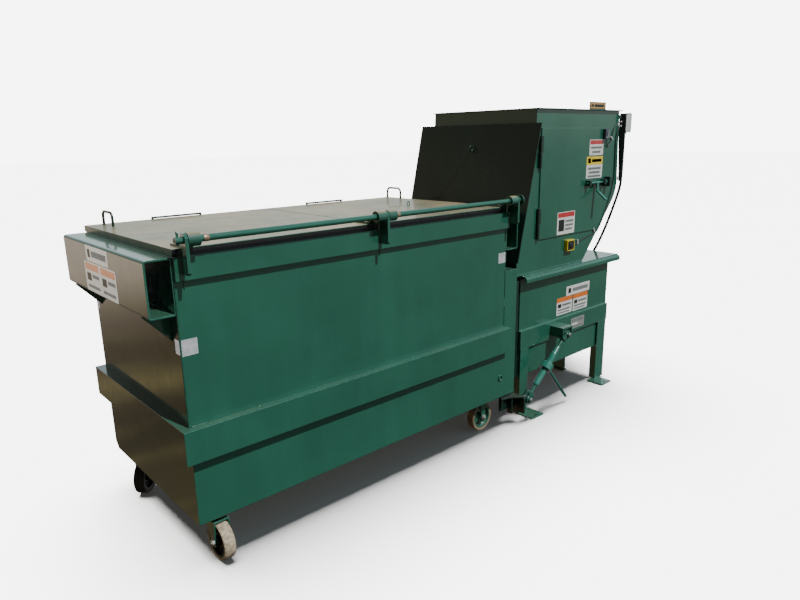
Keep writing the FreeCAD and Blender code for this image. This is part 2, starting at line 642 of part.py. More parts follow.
def hopper():
    near = hopper_side("-hopper_half", "-hopper_half + hopper_skin")
    far = hopper_side("hopper_far - hopper_skin", "hopper_far")
    doorway = profile("XZ", [
        ("door_left + door_lap", "door_low + door_lap"), ("door_cut_x - 8", "door_low + door_lap"),
        ("door_right - door_lap", "door_cut_z + 13"), ("door_right - door_lap", "door_high - door_lap"),
        ("door_left + door_lap", "door_high - door_lap")], "-hopper_half - 2", "-hopper_half + 8")
    middle = ("sensor_left + sensor_wide / 2", "(sensor_low + sensor_high) / 2")
    sight = rod("y", (middle[0], "-hopper_half - 20", middle[1]), "sensor_bore", 60)
    far_sight = rod("y", (middle[0], "hopper_far - 40", middle[1]), "sensor_bore", 60)
    node("hopper_sides", cut(near, doorway, sight), cut(far, far_sight))
    inner = ("-hopper_half + hopper_skin", "hopper_far - hopper_skin")
    front = profile("XZ", [
        ("front_low", "hopper_low"), ("front_low", "front_knee"),
        ("front_bend", "front_shoulder"), ("front_high", "hopper_high"),
        ("front_high + hopper_skin", "hopper_high"),
        ("front_bend + hopper_skin", "front_shoulder"),
        ("front_low + hopper_skin", "front_knee"), ("front_low + hopper_skin", "hopper_low")], *inner)
    back = profile("XZ", [
        ("back_high", "hopper_high"), ("back_knee", "back_shoulder"), ("back_low", "hopper_low"),
        ("back_low - hopper_skin * 1.3", "hopper_low"),
        ("back_knee - hopper_skin", "back_shoulder + hopper_skin * 0.36"),
        ("back_high - hopper_skin", "hopper_high")], *inner)
    back = rounded(back, "y", [(value("back_knee"), value("back_shoulder"))], "back_radius")
    inside = (value("back_knee - hopper_skin"), value("back_shoulder + hopper_skin * 0.36"))
    back = rounded(back, "y", [inside], "back_radius - hopper_skin")
    node("hopper_end_walls", front, back)


def hopper_rim():
    low, high = "hopper_high", "hopper_high + rim_skin"
    along = ("front_high - rim_front", "back_high + rim_back")
    near = block(along, ("-(hopper_half + rim_out)", "-hopper_half + 25"), (low, high))
    far = block(along, ("hopper_far - 25", "hopper_far + 3"), (low, high))
    across = ("-hopper_half + 25", "hopper_far - 25")
    front = block(("front_high - rim_front", "front_high + 25"), across, (low, high))
    back = block(("back_high - 25", "back_high + rim_back"), across, (low, high))
    node("hopper_rim", near, far, front, back)
    node("rim_sign", block(("sign_left", "sign_right"), ("-(hopper_half + rim_out)",
                           "-(hopper_half + rim_out) + sign_skin"), (high, "sign_high")))


def guard_x(height):
    """Where the guard's back face stands at a height."""
    slope = "(guard_head - guard_foot) / (guard_high - guard_low)"
    return f"guard_foot + guard_skin + {slope} * (({height}) - guard_low)"


def wall_x(height):
    """Where the hopper's front wall stands at a height."""
    slope = "(front_bend - front_low) / (front_shoulder - front_knee)"
    return f"front_low + {slope} * (({height}) - front_knee)"


def front_guard():
    plate = profile("XZ", [("guard_foot", "guard_low"), ("guard_foot + guard_skin", "guard_low"),
                           ("guard_head + guard_skin", "guard_high"), ("guard_head", "guard_high")],
                    "-guard_half", "guard_half")
    spacers = []
    for base in ("guard_high - 70", "guard_high - 440"):
        top = f"{base} + spacer_wide"
        outline = [(guard_x(base), base), (wall_x(base), base), (wall_x(top), top), (guard_x(top), top)]
        for y in ("-340", "310"):
            spacers.append(profile("XZ", outline, y, f"{y} + spacer_wide"))
    ring = doc.addObject("Part::Torus", "Ring")
    bind(ring, "Radius1", "eye_radius")
    bind(ring, "Radius2", "eye_wire")
    lifting_eye = placed(ring, ("guard_foot + (guard_head - guard_foot) / (guard_high - guard_low)"
                                " * (eye_high - guard_low) - eye_radius - eye_wire + 1",
                                "0", "eye_high"), Rotation(AXES["z"], AXES["y"]))
    node("front_guard", plate, *spacers, lifting_eye)


# ---------------------------------------------------------------- access door
def access_door():
    face = ("-(door_out + door_skin)", "-door_out")
    node("access_door", profile("XZ", [
        ("door_left", "door_low"), ("door_cut_x", "door_low"), ("door_right", "door_cut_z"),
        ("door_right", "door_high"), ("door_left", "door_high")], *face))
    fixed, moving = [], []
    for low in ("hinge_a", "hinge_b"):
        half = f"{low} + hinge_long / 2"
        start = ("pivot_x", "-pivot_y", low)
        barrel = rod("z", start, "barrel_radius", "hinge_long / 2 - 0.5")
        pintle = rod("z", start, "pintle_radius", "hinge_long")
        leaf = block(("pivot_x - 16", "pivot_x"), ("-(hopper_half + leaf_skin)", "-hopper_half"),
                     (low, f"{half} - 0.5"))
        neck = block(("pivot_x - 5", "pivot_x"), ("-pivot_y + 2", "-hopper_half"), (low, f"{half} - 0.5"))
        fixed.append(fuse(barrel, pintle, leaf, neck))
        shell = rod("z", ("pivot_x", "-pivot_y", half), "barrel_radius", "hinge_long / 2")
        bore = rod("z", ("pivot_x", "-pivot_y", f"{half} - 1"), "pintle_bore", "hinge_long / 2 + 2")
        flap = block(("pivot_x", "pivot_x + 26"),
                     ("-(door_out + door_skin + leaf_skin)", "-(door_out + door_skin)"),
                     (half, f"{low} + hinge_long"))
        moving.append(cut(fuse(shell, flap), bore))
    node("door_hinge_pintles", *fixed)
    node("door_hinge_leaves", *moving)


def door_latch():
    line = ("-bolt_out", "bolt_high")
    bolt = rod("x", ("bolt_left", *line), "bolt_radius", "bolt_right - bolt_left")
    handle = profile("YZ", [
        ("-bolt_out", "bolt_high + 3"), ("-bolt_out - 9", "bolt_high + 3"),
        ("-bolt_out - 9", "handle_bend + 3"), ("-handle_reach", "handle_tip + 3"),
        ("-handle_reach + 4", "handle_tip - 3"), ("-bolt_out - 3", "handle_bend - 2"),
        ("-bolt_out", "bolt_high - 3")], "handle_place - handle_half", "handle_place + handle_half")
    node("door_latch_bolt", fuse(bolt, handle))
    guides = []
    for left in ("guide_a", "guide_b"):
        body = block((left, f"{left} + guide_wide"),
                     ("-(bolt_out + guide_half)", "-(door_out + door_skin)"),
                     ("bolt_high - guide_half", "bolt_high + guide_half"))
        guides.append(cut(body, rod("x", (f"{left} - 1", *line), "bolt_bore", "guide_wide + 2")))
    node("latch_guides", *guides)
    keeper = block(("keeper_left", "keeper_left + keeper_wide"),
                   ("-(bolt_out + guide_half)", "-hopper_half"),
                   ("bolt_high - keeper_half", "bolt_high + keeper_half"))
    node("latch_keeper", cut(keeper, rod("x", ("keeper_left - 1", *line), "bolt_radius + 1.5",
                                         "keeper_wide + 2")))


# ---------------------------------------------------------------- sensors and wiring
def sensors():
    heights = ("switch_low", "switch_high")
    switch = block(("switch_left", "switch_left + switch_wide"), ("-(hopper_half + 22)", "-hopper_half"),
                   heights)
    node("interlock_switch", switch)
    node("interlock_magnet", block(("magnet_left", "magnet_left + magnet_wide"),
                                   ("-(door_out + door_skin + 20)", "-(door_out + door_skin)"), heights))
    eye = block(("sensor_left", "sensor_left + sensor_wide"),
                ("-(hopper_half + sensor_deep)", "-hopper_half"), ("sensor_low", "sensor_high"))
    reflector = block(("sensor_left", "sensor_left + sensor_wide"), ("hopper_far", "hopper_far + 14"),
                      ("sensor_low", "sensor_high"))
    node("photo_eye", eye, reflector)


def junction_box():
    case = block(("box_left", "box_right"), ("-box_near + box_lid", "-box_far"), ("box_low", "box_high"))
    cover = block(("box_left - 2", "box_right + 2"), ("-box_near", "-box_near + box_lid"),
                  ("box_low - 2", "box_high + 2"))
    case = rounded(case, "y", corners_of(("box_left", "box_right"), ("box_low", "box_high")), 12)
    cover = rounded(cover, "y", corners_of(("box_left - 2", "box_right + 2"),
                                           ("box_low - 2", "box_high + 2")), 14)
    tail = profile("YZ", [("-box_far - 20", "tail_low"), ("-box_far", "box_low"),
                          ("-box_far", "box_high - 20"), ("-box_near + box_lid", "box_high - 20"),
                          ("-box_near + box_lid", "box_low"), ("-box_far - 41", "tail_low")],
                   "box_left - 4", "box_left")
    stand = block(("back_high + 8", "box_left - 4"), ("-hopper_half", "-box_far - 2"),
                  ("box_high - 34", "box_high - 12"))
    foot = block(("back_knee - 3", "box_left - 4"), ("-hopper_half - 6", "-hopper_half"),
                 ("tail_low + 6", "tail_low + 30"))
    node("junction_box", case, tail, stand, foot)
    node("junction_box_cover", cover)


def wiring():
    """Conduit to the power unit and the two thin signal cables on the hopper side."""
    conduit = [(559.5, -428, 1652), (560, -428, 1520), (559.5, -429, 1400), (559.5, -426, 1310),
               (561, -395, 1206), (577, -343, 1072), (592, -281, 935), (600, -222, 826),
               (622, -125, 752), (645, 0, 722), (644, 52, 690), (630, 100, 660), (622, 137.4, 652)]
    node("conduit", routed_tube("conduit", conduit, value("conduit_radius")))
    side = -value("hopper_half") - value("cable_radius") - 1
    sensor = [(50, -420, 984), (76, -420, 984), (110, side, 992), (200, side, 1010), (290, side, 1026),
              (330, side, 1036), (367, side, 1080), (418, side, 1160), (468, side, 1256),
              (500, side, 1360), (497, side, 1480),
              (490, side, 1590), (500, side, 1655), (526, -411, 1688), (546, -411, 1690)]
    switch = [(370, -419, 1612), (371, -420, 1584), (392, side, 1562), (420, side, 1584),
              (438, side, 1616), (456, side, 1666), (500, side, 1706), (526, -411, 1715),
              (546, -411, 1716)]
    node("signal_cables", routed_tube("sensor cable", sensor, value("cable_radius")),
         routed_tube("switch cable", switch, value("cable_radius")))


# ---------------------------------------------------------------- ram and hydraulics
def ram():
    half = "ram_half"
    face = block(("ram_left", "ram_left + ram_skin"), (f"-{half}", half), ("ram_low", "ram_high"))
    back = ("ram_left + ram_skin", "ram_right")
    top = block(back, (f"-{half}", half), ("ram_high - ram_skin", "ram_high"))
    bottom = block(back, (f"-{half}", half), ("ram_low", "ram_low + ram_skin"))
    side = block(back, (f"-{half}", f"-{half} + ram_skin"),
                 ("ram_low + ram_skin", "ram_high - ram_skin"))
    shoe = block(("ram_left", "ram_right"), (f"-{half}", f"-{half} + shoe_wide"), ("shoe_low", "ram_low"))
    node("ram", face, top, bottom, side, mirrored(side), shoe, mirrored(shoe))


def cylinder():
    barrel = turned_x([("barrel_inner", "barrel_left + cap_thick"),
                       ("gland_bore", "barrel_left + cap_thick"),
                       ("gland_bore", "barrel_left"), ("barrel_outer", "barrel_left"),
                       ("barrel_outer", "barrel_right"), ("0", "barrel_right"),
                       ("0", "barrel_right - cap_thick"), ("barrel_inner", "barrel_right - cap_thick")])
    eye = block(("barrel_right - 2", "anchor_place + 22"), ("-20", "20"),
                ("cyl_high - 24", "cyl_high + 24"))
    bore = rod("y", ("anchor_place", "-30", "cyl_high"), "anchor_pin_radius + 0.06", 60)
    node("cylinder_barrel", cut(fuse(barrel, eye), bore))
    stage = turned_x([("stage_inner", "stage_left + cap_thick"), ("stage_bore", "stage_left + cap_thick"),
                      ("stage_bore", "stage_left"), ("stage_outer", "stage_left"),
                      ("stage_outer", "stage_right - 20"), ("barrel_inner - 0.06", "stage_right - 20"),
                      ("barrel_inner - 0.06", "stage_right"), ("0", "stage_right"),
                      ("0", "stage_right - 8"), ("stage_inner", "stage_right - 8")])
    node("cylinder_stage", stage)
    plunger = turned_x([("0", "plunger_left"), ("plunger_radius", "plunger_left"),
                        ("plunger_radius", "plunger_right - 20"),
                        ("stage_inner - 0.06", "plunger_right - 20"),
                        ("stage_inner - 0.06", "plunger_right"), ("0", "plunger_right")])
    node("cylinder_plunger", plunger)
    cheek = block(("body_right", "anchor_place + 30"), ("-cheek_half - cheek_skin", "-cheek_half"),
                  ("cyl_high - cheek_high", "cyl_high - 20"))
    cheek_tip = block(("anchor_place - 25", "anchor_place + 30"),
                      ("-cheek_half - cheek_skin", "-cheek_half"), ("cyl_high - 20", "cyl_high + 30"))
    cheek_bore = rod("y", ("anchor_place", "-cheek_half - cheek_skin - 1", "cyl_high"),
                     "anchor_pin_radius", "cheek_skin + 2")
    plate = cut(fuse(cheek, cheek_tip), cheek_bore)
    pin = rod("y", ("anchor_place", "-cheek_half - cheek_skin - 8", "cyl_high"), "anchor_pin_radius",
              "2 * (cheek_half + cheek_skin + 8)")
    node("cylinder_anchor", plate, mirrored(plate), pin)


def turned_x(points):
    """A solid of revolution about the cylinder's line, from (radius, station) formulas."""
    outline = [(radius, station) for radius, station in points]
    return placed(turned(outline), ("0", "0", "cyl_high"), Rotation(AXES["z"], AXES["x"]))


def power_unit():
    shelf = block(("body_right", "shelf_right"), ("shelf_near", "shelf_far"),
                  ("shelf_high - 8", "shelf_high"))
    braces = [profile("XZ", [("body_right", "shelf_high - 108"), ("body_right", "shelf_high - 8"),
                             ("shelf_right - 40", "shelf_high - 8")], y, f"{y} + 8")
              for y in ("shelf_near", "shelf_far - 8")]
    tank = block(("tank_left", "tank_right"), ("tank_near", "tank_far"), ("shelf_high", "tank_high"))
    middle = ("(tank_left + tank_right) / 2", "tank_near + 95", "tank_high")
    pump = block((f"{middle[0]} - 45", f"{middle[0]} + 45"), ("tank_far - 95", "tank_far - 15"),
                 ("tank_high", "tank_high + 70"))
    filler = rod("z", ("tank_left + 30", "tank_far - 40", "tank_high"), "18", "30")
    node("oil_tank", tank, pump, filler, shelf, *braces)
    foot = rod("z", middle, "motor_radius - 14", "12")
    can = rod("z", (middle[0], middle[1], "tank_high + 12"), "motor_radius", "motor_high - tank_high - 12")
    terminals = block((f"{middle[0]} - 35", f"{middle[0]} + 35"), ("tank_near + 5", "tank_near + 55"),
                      ("motor_high - 80", "motor_high - 10"))
    node("electric_motor", fuse(foot, can, terminals))
    supply = [(575, 320, 610), (540, 320, 610), (522, 270, 612), (522, 170, 606), (524, 118, 580),
              (532, 90, 556), (541, 66.2, 547)]
    back = [(666, 320, 610), (705, 320, 606), (735, 270, 600), (737, 190, 590), (728, 140, 572),
            (700, 108, 556), (664, 94, 548), (653, 65.6, 545.2)]
    node("hydraulic_hoses", routed_tube("supply hose", supply, value("hose_radius")),
         routed_tube("return hose", back, value("hose_radius")))


# ---------------------------------------------------------------- ratchet binders
def binder_turn():
    """Rotation from +Z to the binder's line, which runs up towards the compactor."""
    return Rotation(AXES["z"], Vector(value("pin_high_x - pin_low_x"), 0,
                                      value("pin_high_z - pin_low_z")))


BINDER_START = ("pin_low_x", "-binder_out", "pin_low_z")
BINDER_LONG = "sqrt((pin_high_x - pin_low_x)^2 + (pin_high_z - pin_low_z)^2)"


def jaw_screw():
    """A forked jaw about its pin at the origin, with its screw along +Z."""
    ears = []
    for side in ("-(jaw_gap + jaw_skin)", "jaw_gap"):
        ears.append(rod("y", ("0", side, "0"), "jaw_radius", "jaw_skin"))
        ears.append(block(("-jaw_radius + 4", "jaw_radius - 4"), (side, f"({side}) + jaw_skin"),
                          ("0", "jaw_long")))
    bridge = block(("-jaw_radius + 4", "jaw_radius - 4"), ("-(jaw_gap + jaw_skin)", "jaw_gap + jaw_skin"),
                   ("jaw_long - 16", "jaw_long"))
    shank = rod("z", ("0", "0", "jaw_long - 10"), "screw_radius", "screw_long - jaw_long + 10")
    bore = rod("y", ("0", "-40", "0"), "joint_pin", 80)
    return cut(fuse(*ears, bridge, shank), bore)


def binders():
    turn = binder_turn()
    flip = Rotation(AXES["y"], 180)
    lower = placed(jaw_screw(), BINDER_START, turn)
    upper = placed(jaw_screw(), ("pin_high_x", "-binder_out", "pin_high_z"), turn.multiply(flip))
    pins = []
    for x, z in (("pin_low_x", "pin_low_z"), ("pin_high_x", "pin_high_z")):
        shank = rod("y", (x, "-(binder_out + 24)", z), "joint_pin", "48")
        head = rod("y", (x, "-(binder_out + 31)", z), "joint_pin + 5", "7")
        pins.append(fuse(shank, head))
    fixed = [lower, upper, *pins]
    node("binder_screws", *fixed, *[mirrored(solid) for solid in fixed])
    sleeve = turned([
        ("sleeve_bore", "barrel_start"), ("sleeve_radius - 3", "barrel_start"),
        ("sleeve_radius", "barrel_start + 8"), ("sleeve_radius", "gear_start"),
        ("gear_radius", "gear_start"), ("gear_radius", "gear_start + gear_wide"),
        ("sleeve_radius", "gear_start + gear_wide"), ("sleeve_radius", "barrel_end - 60"),
        ("sleeve_radius - 5", "barrel_end"), ("sleeve_bore", "barrel_end")])
    near_sleeve = placed(sleeve, BINDER_START, turn)
    collar = cut(rod("z", ("0", "0", "gear_start - 6"), "crank_collar", "gear_wide + 12"),
                 rod("z", ("0", "0", "gear_start - 0.3"), "gear_radius + 0.3", "gear_wide + 0.6"),
                 rod("z", ("0", "0", "gear_start - 20"), "sleeve_radius + 0.3", "gear_wide + 40"))
    arm = rod("x", ("gear_radius + 2", "0", "gear_start + gear_wide / 2"), "crank_radius",
              "crank_long - gear_radius - 2")
    crank = placed(fuse(collar, arm), BINDER_START, turn)
    for side, change in (("near", lambda solid: solid), ("far", mirrored)):
        node(f"{side}_binder_barrel", change(near_sleeve))
        node(f"{side}_binder_handle", change(crank))


def binder_brackets():
    """The compactor's brackets and the container's catch lugs."""
    out = ("-bracket_out", "-(body_half + side_band_out)")
    top = block(("bracket_left", "bracket_right"), out, ("bracket_high - bracket_skin", "bracket_high"))
    cheeks = [block((left, f"{left} + bracket_skin"), out, ("bracket_low", "bracket_high - bracket_skin"))
              for left in ("bracket_left", "bracket_right - bracket_skin")]
    thick = ("-(binder_out + ear_half)", "-(binder_out - ear_half)")
    ear = cut(fuse(block(("pin_high_x - ear_round", "bracket_right - bracket_skin"), thick,
                         ("pin_high_z", "bracket_high - bracket_skin")),
                   rod("y", ("pin_high_x", thick[0], "pin_high_z"), "ear_round", "2 * ear_half")),
              rod("y", ("pin_high_x", "-(binder_out + 20)", "pin_high_z"), "joint_pin", 40))
    bracket = fuse(top, *cheeks, ear)
    node("binder_brackets", bracket, mirrored(bracket))
    back = block(("-645", "catch_left"), ("-440", "-428"), ("catch_low", "shell_low"))
    lid = profile("XY", [("-645", "-440"), ("-645", "-452"), ("-590", "-464"),
                         ("catch_left", "-522"), ("catch_left", "-440")],
                  "catch_high - 8", "catch_high")
    ribs = [block((left, f"{left} + catch_plate"), (near, "-440"), (low, "catch_high - 8"))
            for left, near, low in (("-645", "-450", "110"), ("-581", "-472", "70"),
                                    ("catch_left - catch_plate", "-522", "68"))]
    hook = cut(fuse(block(("catch_left", "pin_low_x"), thick,
                          ("pin_low_z - ear_round", "pin_low_z + ear_round")),
                    rod("y", ("pin_low_x", thick[0], "pin_low_z"), "ear_round", "2 * ear_half")),
               rod("y", ("pin_low_x", "-(binder_out + 20)", "pin_low_z"), "joint_pin", 40))
    catch = fuse(back, lid, *ribs, hook)
    node("container_catches", catch, mirrored(catch))


# ---------------------------------------------------------------- build and export
for build in (container_shell, container_band, container_top_rails, fork_pockets, docking_collar,
              lid_hinge_rod, lids, casters, compactor_body, throat, legs_and_feet, hopper,
              hopper_rim, front_guard, access_door, door_latch, sensors, junction_box, wiring, ram,
              cylinder, power_unit, binders, binder_brackets):
    build()
doc.recompute()

broken = [obj.Name for obj in doc.Objects if {"Invalid", "Error"} & set(obj.State)]
if broken:
    raise SystemExit(f"failed objects: {broken}")
for part in nodes:
    if part.Shape.isNull() or not part.Shape.isValid():
        raise SystemExit(f"bad shape: {part.Label}")
print(f"{len(nodes)} nodes")
for part in nodes:
    part.Shape.exportStep(f"parts/{part.Label}.step")
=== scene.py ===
"""Trash compactor and its docked container: camera, light, finishes and small detail pieces."""
import bpy
import bmesh
import json
import math
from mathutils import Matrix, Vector

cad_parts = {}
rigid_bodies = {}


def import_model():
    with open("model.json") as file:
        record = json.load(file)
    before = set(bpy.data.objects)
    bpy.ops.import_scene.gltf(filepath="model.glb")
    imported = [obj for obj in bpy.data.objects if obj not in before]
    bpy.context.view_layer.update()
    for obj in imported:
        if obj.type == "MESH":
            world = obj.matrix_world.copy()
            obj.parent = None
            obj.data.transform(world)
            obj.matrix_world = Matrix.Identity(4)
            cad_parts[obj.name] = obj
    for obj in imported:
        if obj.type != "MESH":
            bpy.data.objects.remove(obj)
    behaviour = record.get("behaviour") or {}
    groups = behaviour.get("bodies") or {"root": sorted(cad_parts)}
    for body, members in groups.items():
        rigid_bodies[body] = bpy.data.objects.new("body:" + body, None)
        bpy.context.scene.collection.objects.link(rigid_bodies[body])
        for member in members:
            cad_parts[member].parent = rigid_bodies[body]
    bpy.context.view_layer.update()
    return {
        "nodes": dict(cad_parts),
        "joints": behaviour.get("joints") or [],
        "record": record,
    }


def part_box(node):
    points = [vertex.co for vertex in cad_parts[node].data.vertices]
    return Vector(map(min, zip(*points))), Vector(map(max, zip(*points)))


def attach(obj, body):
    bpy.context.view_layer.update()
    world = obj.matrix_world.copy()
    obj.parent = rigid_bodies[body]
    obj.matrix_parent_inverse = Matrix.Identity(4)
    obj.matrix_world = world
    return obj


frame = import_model()
nodes = frame["nodes"]
scene = bpy.context.scene

CAMERA_PLACE = (-3.34657, -2.60795, 1.63625)
CAMERA_TURN = (75.6941, 0.9019, -42.0893)
CAMERA_LENS = 28.661
CAMERA_SHIFT = (-0.0009, 0.0009)
FLOOR_HALF = 60
KEY_WAY = (-0.18, 1.0, -1.4)
KEY_POWER = 4.3
FLOOR_LIGHT_WAY = (0.0, -0.2, -1.0)
FLOOR_LIGHT_POWER = 66
FILL_WAY = (1.0, 0.3, -0.3)
FILL_POWER = 2.6
BACKDROP_STRENGTH = 7.0
LEFT_END_MIRRORS = (-0.64, 0.72, -0.2)


# ---------------------------------------------------------------- camera
def make_camera():
    """The camera at the photograph's place and angle."""
    data = bpy.data.cameras.new("Camera")
    data.sensor_width = 36
    data.lens = CAMERA_LENS
    data.shift_x, data.shift_y = CAMERA_SHIFT
    data.clip_end = 200
    camera = bpy.data.objects.new("Camera", data)
    camera.location = CAMERA_PLACE
    camera.rotation_euler = [math.radians(a) for a in CAMERA_TURN]
    scene.collection.objects.link(camera)
    scene.camera = camera


# ---------------------------------------------------------------- node helpers
class Tree:
    """Short ways to add and join shader nodes."""

    def __init__(self, owner):
        owner.use_nodes = True
        self.nodes = owner.node_tree.nodes
        self.links = owner.node_tree.links
        self.nodes.clear()

    def add(self, kind, **settings):
        made = self.nodes.new(kind)
        for key, given in settings.items():
            setattr(made, key, given)
        return made

    def put(self, source, socket):
        """A socket takes a number, a colour or another node's output."""
        if isinstance(source, bpy.types.NodeSocket):
            self.links.new(source, socket)
        else:
            socket.default_value = source

    def math(self, operation, first, second=0.0, clamp=False):
        made = self.add("ShaderNodeMath", operation=operation, use_clamp=clamp)
        self.put(first, made.inputs[0])
        self.put(second, made.inputs[1])
        return made.outputs[0]

    def span(self, source, low, high, to_low=0.0, to_high=1.0):
        """Map low..high to to_low..to_high, clamped."""
        made = self.add("ShaderNodeMapRange")
        for number, given in enumerate((source, low, high, to_low, to_high)):
            self.put(given, made.inputs[number])
        return made.outputs[0]

    def noise(self, coords, scale, detail=4.0, rough=0.55):
        made = self.add("ShaderNodeTexNoise")
        self.put(coords, made.inputs["Vector"])
        made.inputs["Scale"].default_value = scale
        made.inputs["Detail"].default_value = detail
        made.inputs["Roughness"].default_value = rough
        return made.outputs["Fac"]

    def stretch(self, coords, scale):
        made = self.add("ShaderNodeMapping")
        self.put(coords, made.inputs["Vector"])
        made.inputs["Scale"].default_value = scale
        return made.outputs[0]

    def blend(self, amount, first, second):
        made = self.add("ShaderNodeMix", data_type="RGBA")
        self.put(amount, made.inputs[0])
        self.put(first, made.inputs[6])
        self.put(second, made.inputs[7])
        return made.outputs[2]

    def bump(self, height, strength, distance, normal=None):
        made = self.add("ShaderNodeBump")
        made.inputs["Strength"].default_value = strength
        made.inputs["Distance"].default_value = distance
        self.put(height, made.inputs["Height"])
        if normal is not None:
            self.put(normal, made.inputs["Normal"])
        return made.outputs[0]


def rgb(red, green, blue):
    """A display colour of 0..255 as the linear colour that shaders take."""
    def linear(part):
        part = part / 255
        return part / 12.92 if part < 0.04045 else ((part + 0.055) / 1.055) ** 2.4
    return (linear(red), linear(green), linear(blue), 1.0)


def finish(name, light, dark, rough=(0.2, 0.35), metal=0.0, coat=0.0, edge=None, edge_radius=0.004,
           dust=None, dust_amount=0.0, grain=(0.02, 220), waves=0.0, mottle=3.0, streak=0.25,
           specular=0.5, hatch=0.0):
    """A paint, metal, rubber or plastic with mottling, streaks, dust on top faces, and edges lightened in
    chips as partly worn paint and partly painted highlight.
    """
    material = bpy.data.materials.new(name)
    tree = Tree(material)
    place = tree.add("ShaderNodeTexCoord")
    coords = place.outputs["Object"]
    shader = tree.add("ShaderNodeBsdfPrincipled")
    out = tree.add("ShaderNodeOutputMaterial")
    tree.links.new(shader.outputs[0], out.inputs[0])

    cloud = tree.span(tree.noise(coords, mottle, 6), 0.3, 0.7)
    runs = tree.span(tree.noise(tree.stretch(coords, (7, 7, 0.7)), 2.0, 5), 0.35, 0.75)
    tone = tree.math("ADD", tree.math("MULTIPLY", cloud, 1 - streak),
                     tree.math("MULTIPLY", runs, streak))
    colour = tree.blend(tone, dark, light)
    if hatch:
        bands = tree.add("ShaderNodeTexWave", bands_direction="DIAGONAL")
        bands.inputs["Scale"].default_value = hatch
        tree.put(coords, bands.inputs["Vector"])
        colour = tree.blend(tree.span(bands.outputs["Fac"], 0.3, 0.7, 0.0, 0.55), colour, dark)
    shine = tree.span(tree.noise(coords, mottle * 6, 5), 0.3, 0.7, rough[0], rough[1])

    normal = None
    if edge is not None:
        bevel = tree.add("ShaderNodeBevel", samples=4)
        bevel.inputs["Radius"].default_value = edge_radius
        normal = bevel.outputs[0]
        face = tree.add("ShaderNodeNewGeometry")
        dot = tree.add("ShaderNodeVectorMath", operation="DOT_PRODUCT")
        tree.links.new(normal, dot.inputs[0])
        tree.links.new(face.outputs["Normal"], dot.inputs[1])
        # Edge colour laid in chips along bevelled edges: partly worn paint, partly a painted highlight where
        # the edges catch light.
        turned = tree.span(dot.outputs["Value"], 0.995, 0.8)
        chips = tree.span(tree.noise(coords, 38, 7), 0.38, 0.62)
        edge_wear_and_highlight = tree.math("MULTIPLY", turned, chips, clamp=True)
        colour = tree.blend(edge_wear_and_highlight, colour, edge)
    if dust is not None:
        up = tree.add("ShaderNodeSeparateXYZ")
        tree.links.new(place.outputs["Normal"], up.inputs[0])
        patch = tree.span(tree.noise(coords, 2.6, 8, 0.62), 0.32, 0.68, 0.35, 1.0)
        lying = tree.span(up.outputs[2], 0.55, 0.95)
        amount = tree.math("MULTIPLY", tree.math("MULTIPLY", lying, patch), dust_amount, clamp=True)
        colour = tree.blend(amount, colour, dust)
        shine = tree.math("ADD", shine, tree.math("MULTIPLY", amount, 0.22), clamp=True)

    grain_height = tree.noise(coords, grain[1], 3)
    bumped = tree.bump(grain_height, grain[0], 0.002, normal)
    if waves:
        bumped = tree.bump(tree.noise(coords, 3.1, 2), waves, 0.02, bumped)
    tree.put(colour, shader.inputs["Base Color"])
    tree.put(shine, shader.inputs["Roughness"])
    tree.put(bumped, shader.inputs["Normal"])
    shader.inputs["Metallic"].default_value = metal
    shader.inputs["Specular IOR Level"].default_value = specular
    if coat:
        shader.inputs["Coat Weight"].default_value = coat
        shader.inputs["Coat Roughness"].default_value = 0.08
        tree.put(bumped, shader.inputs["Coat Normal"])
    return material


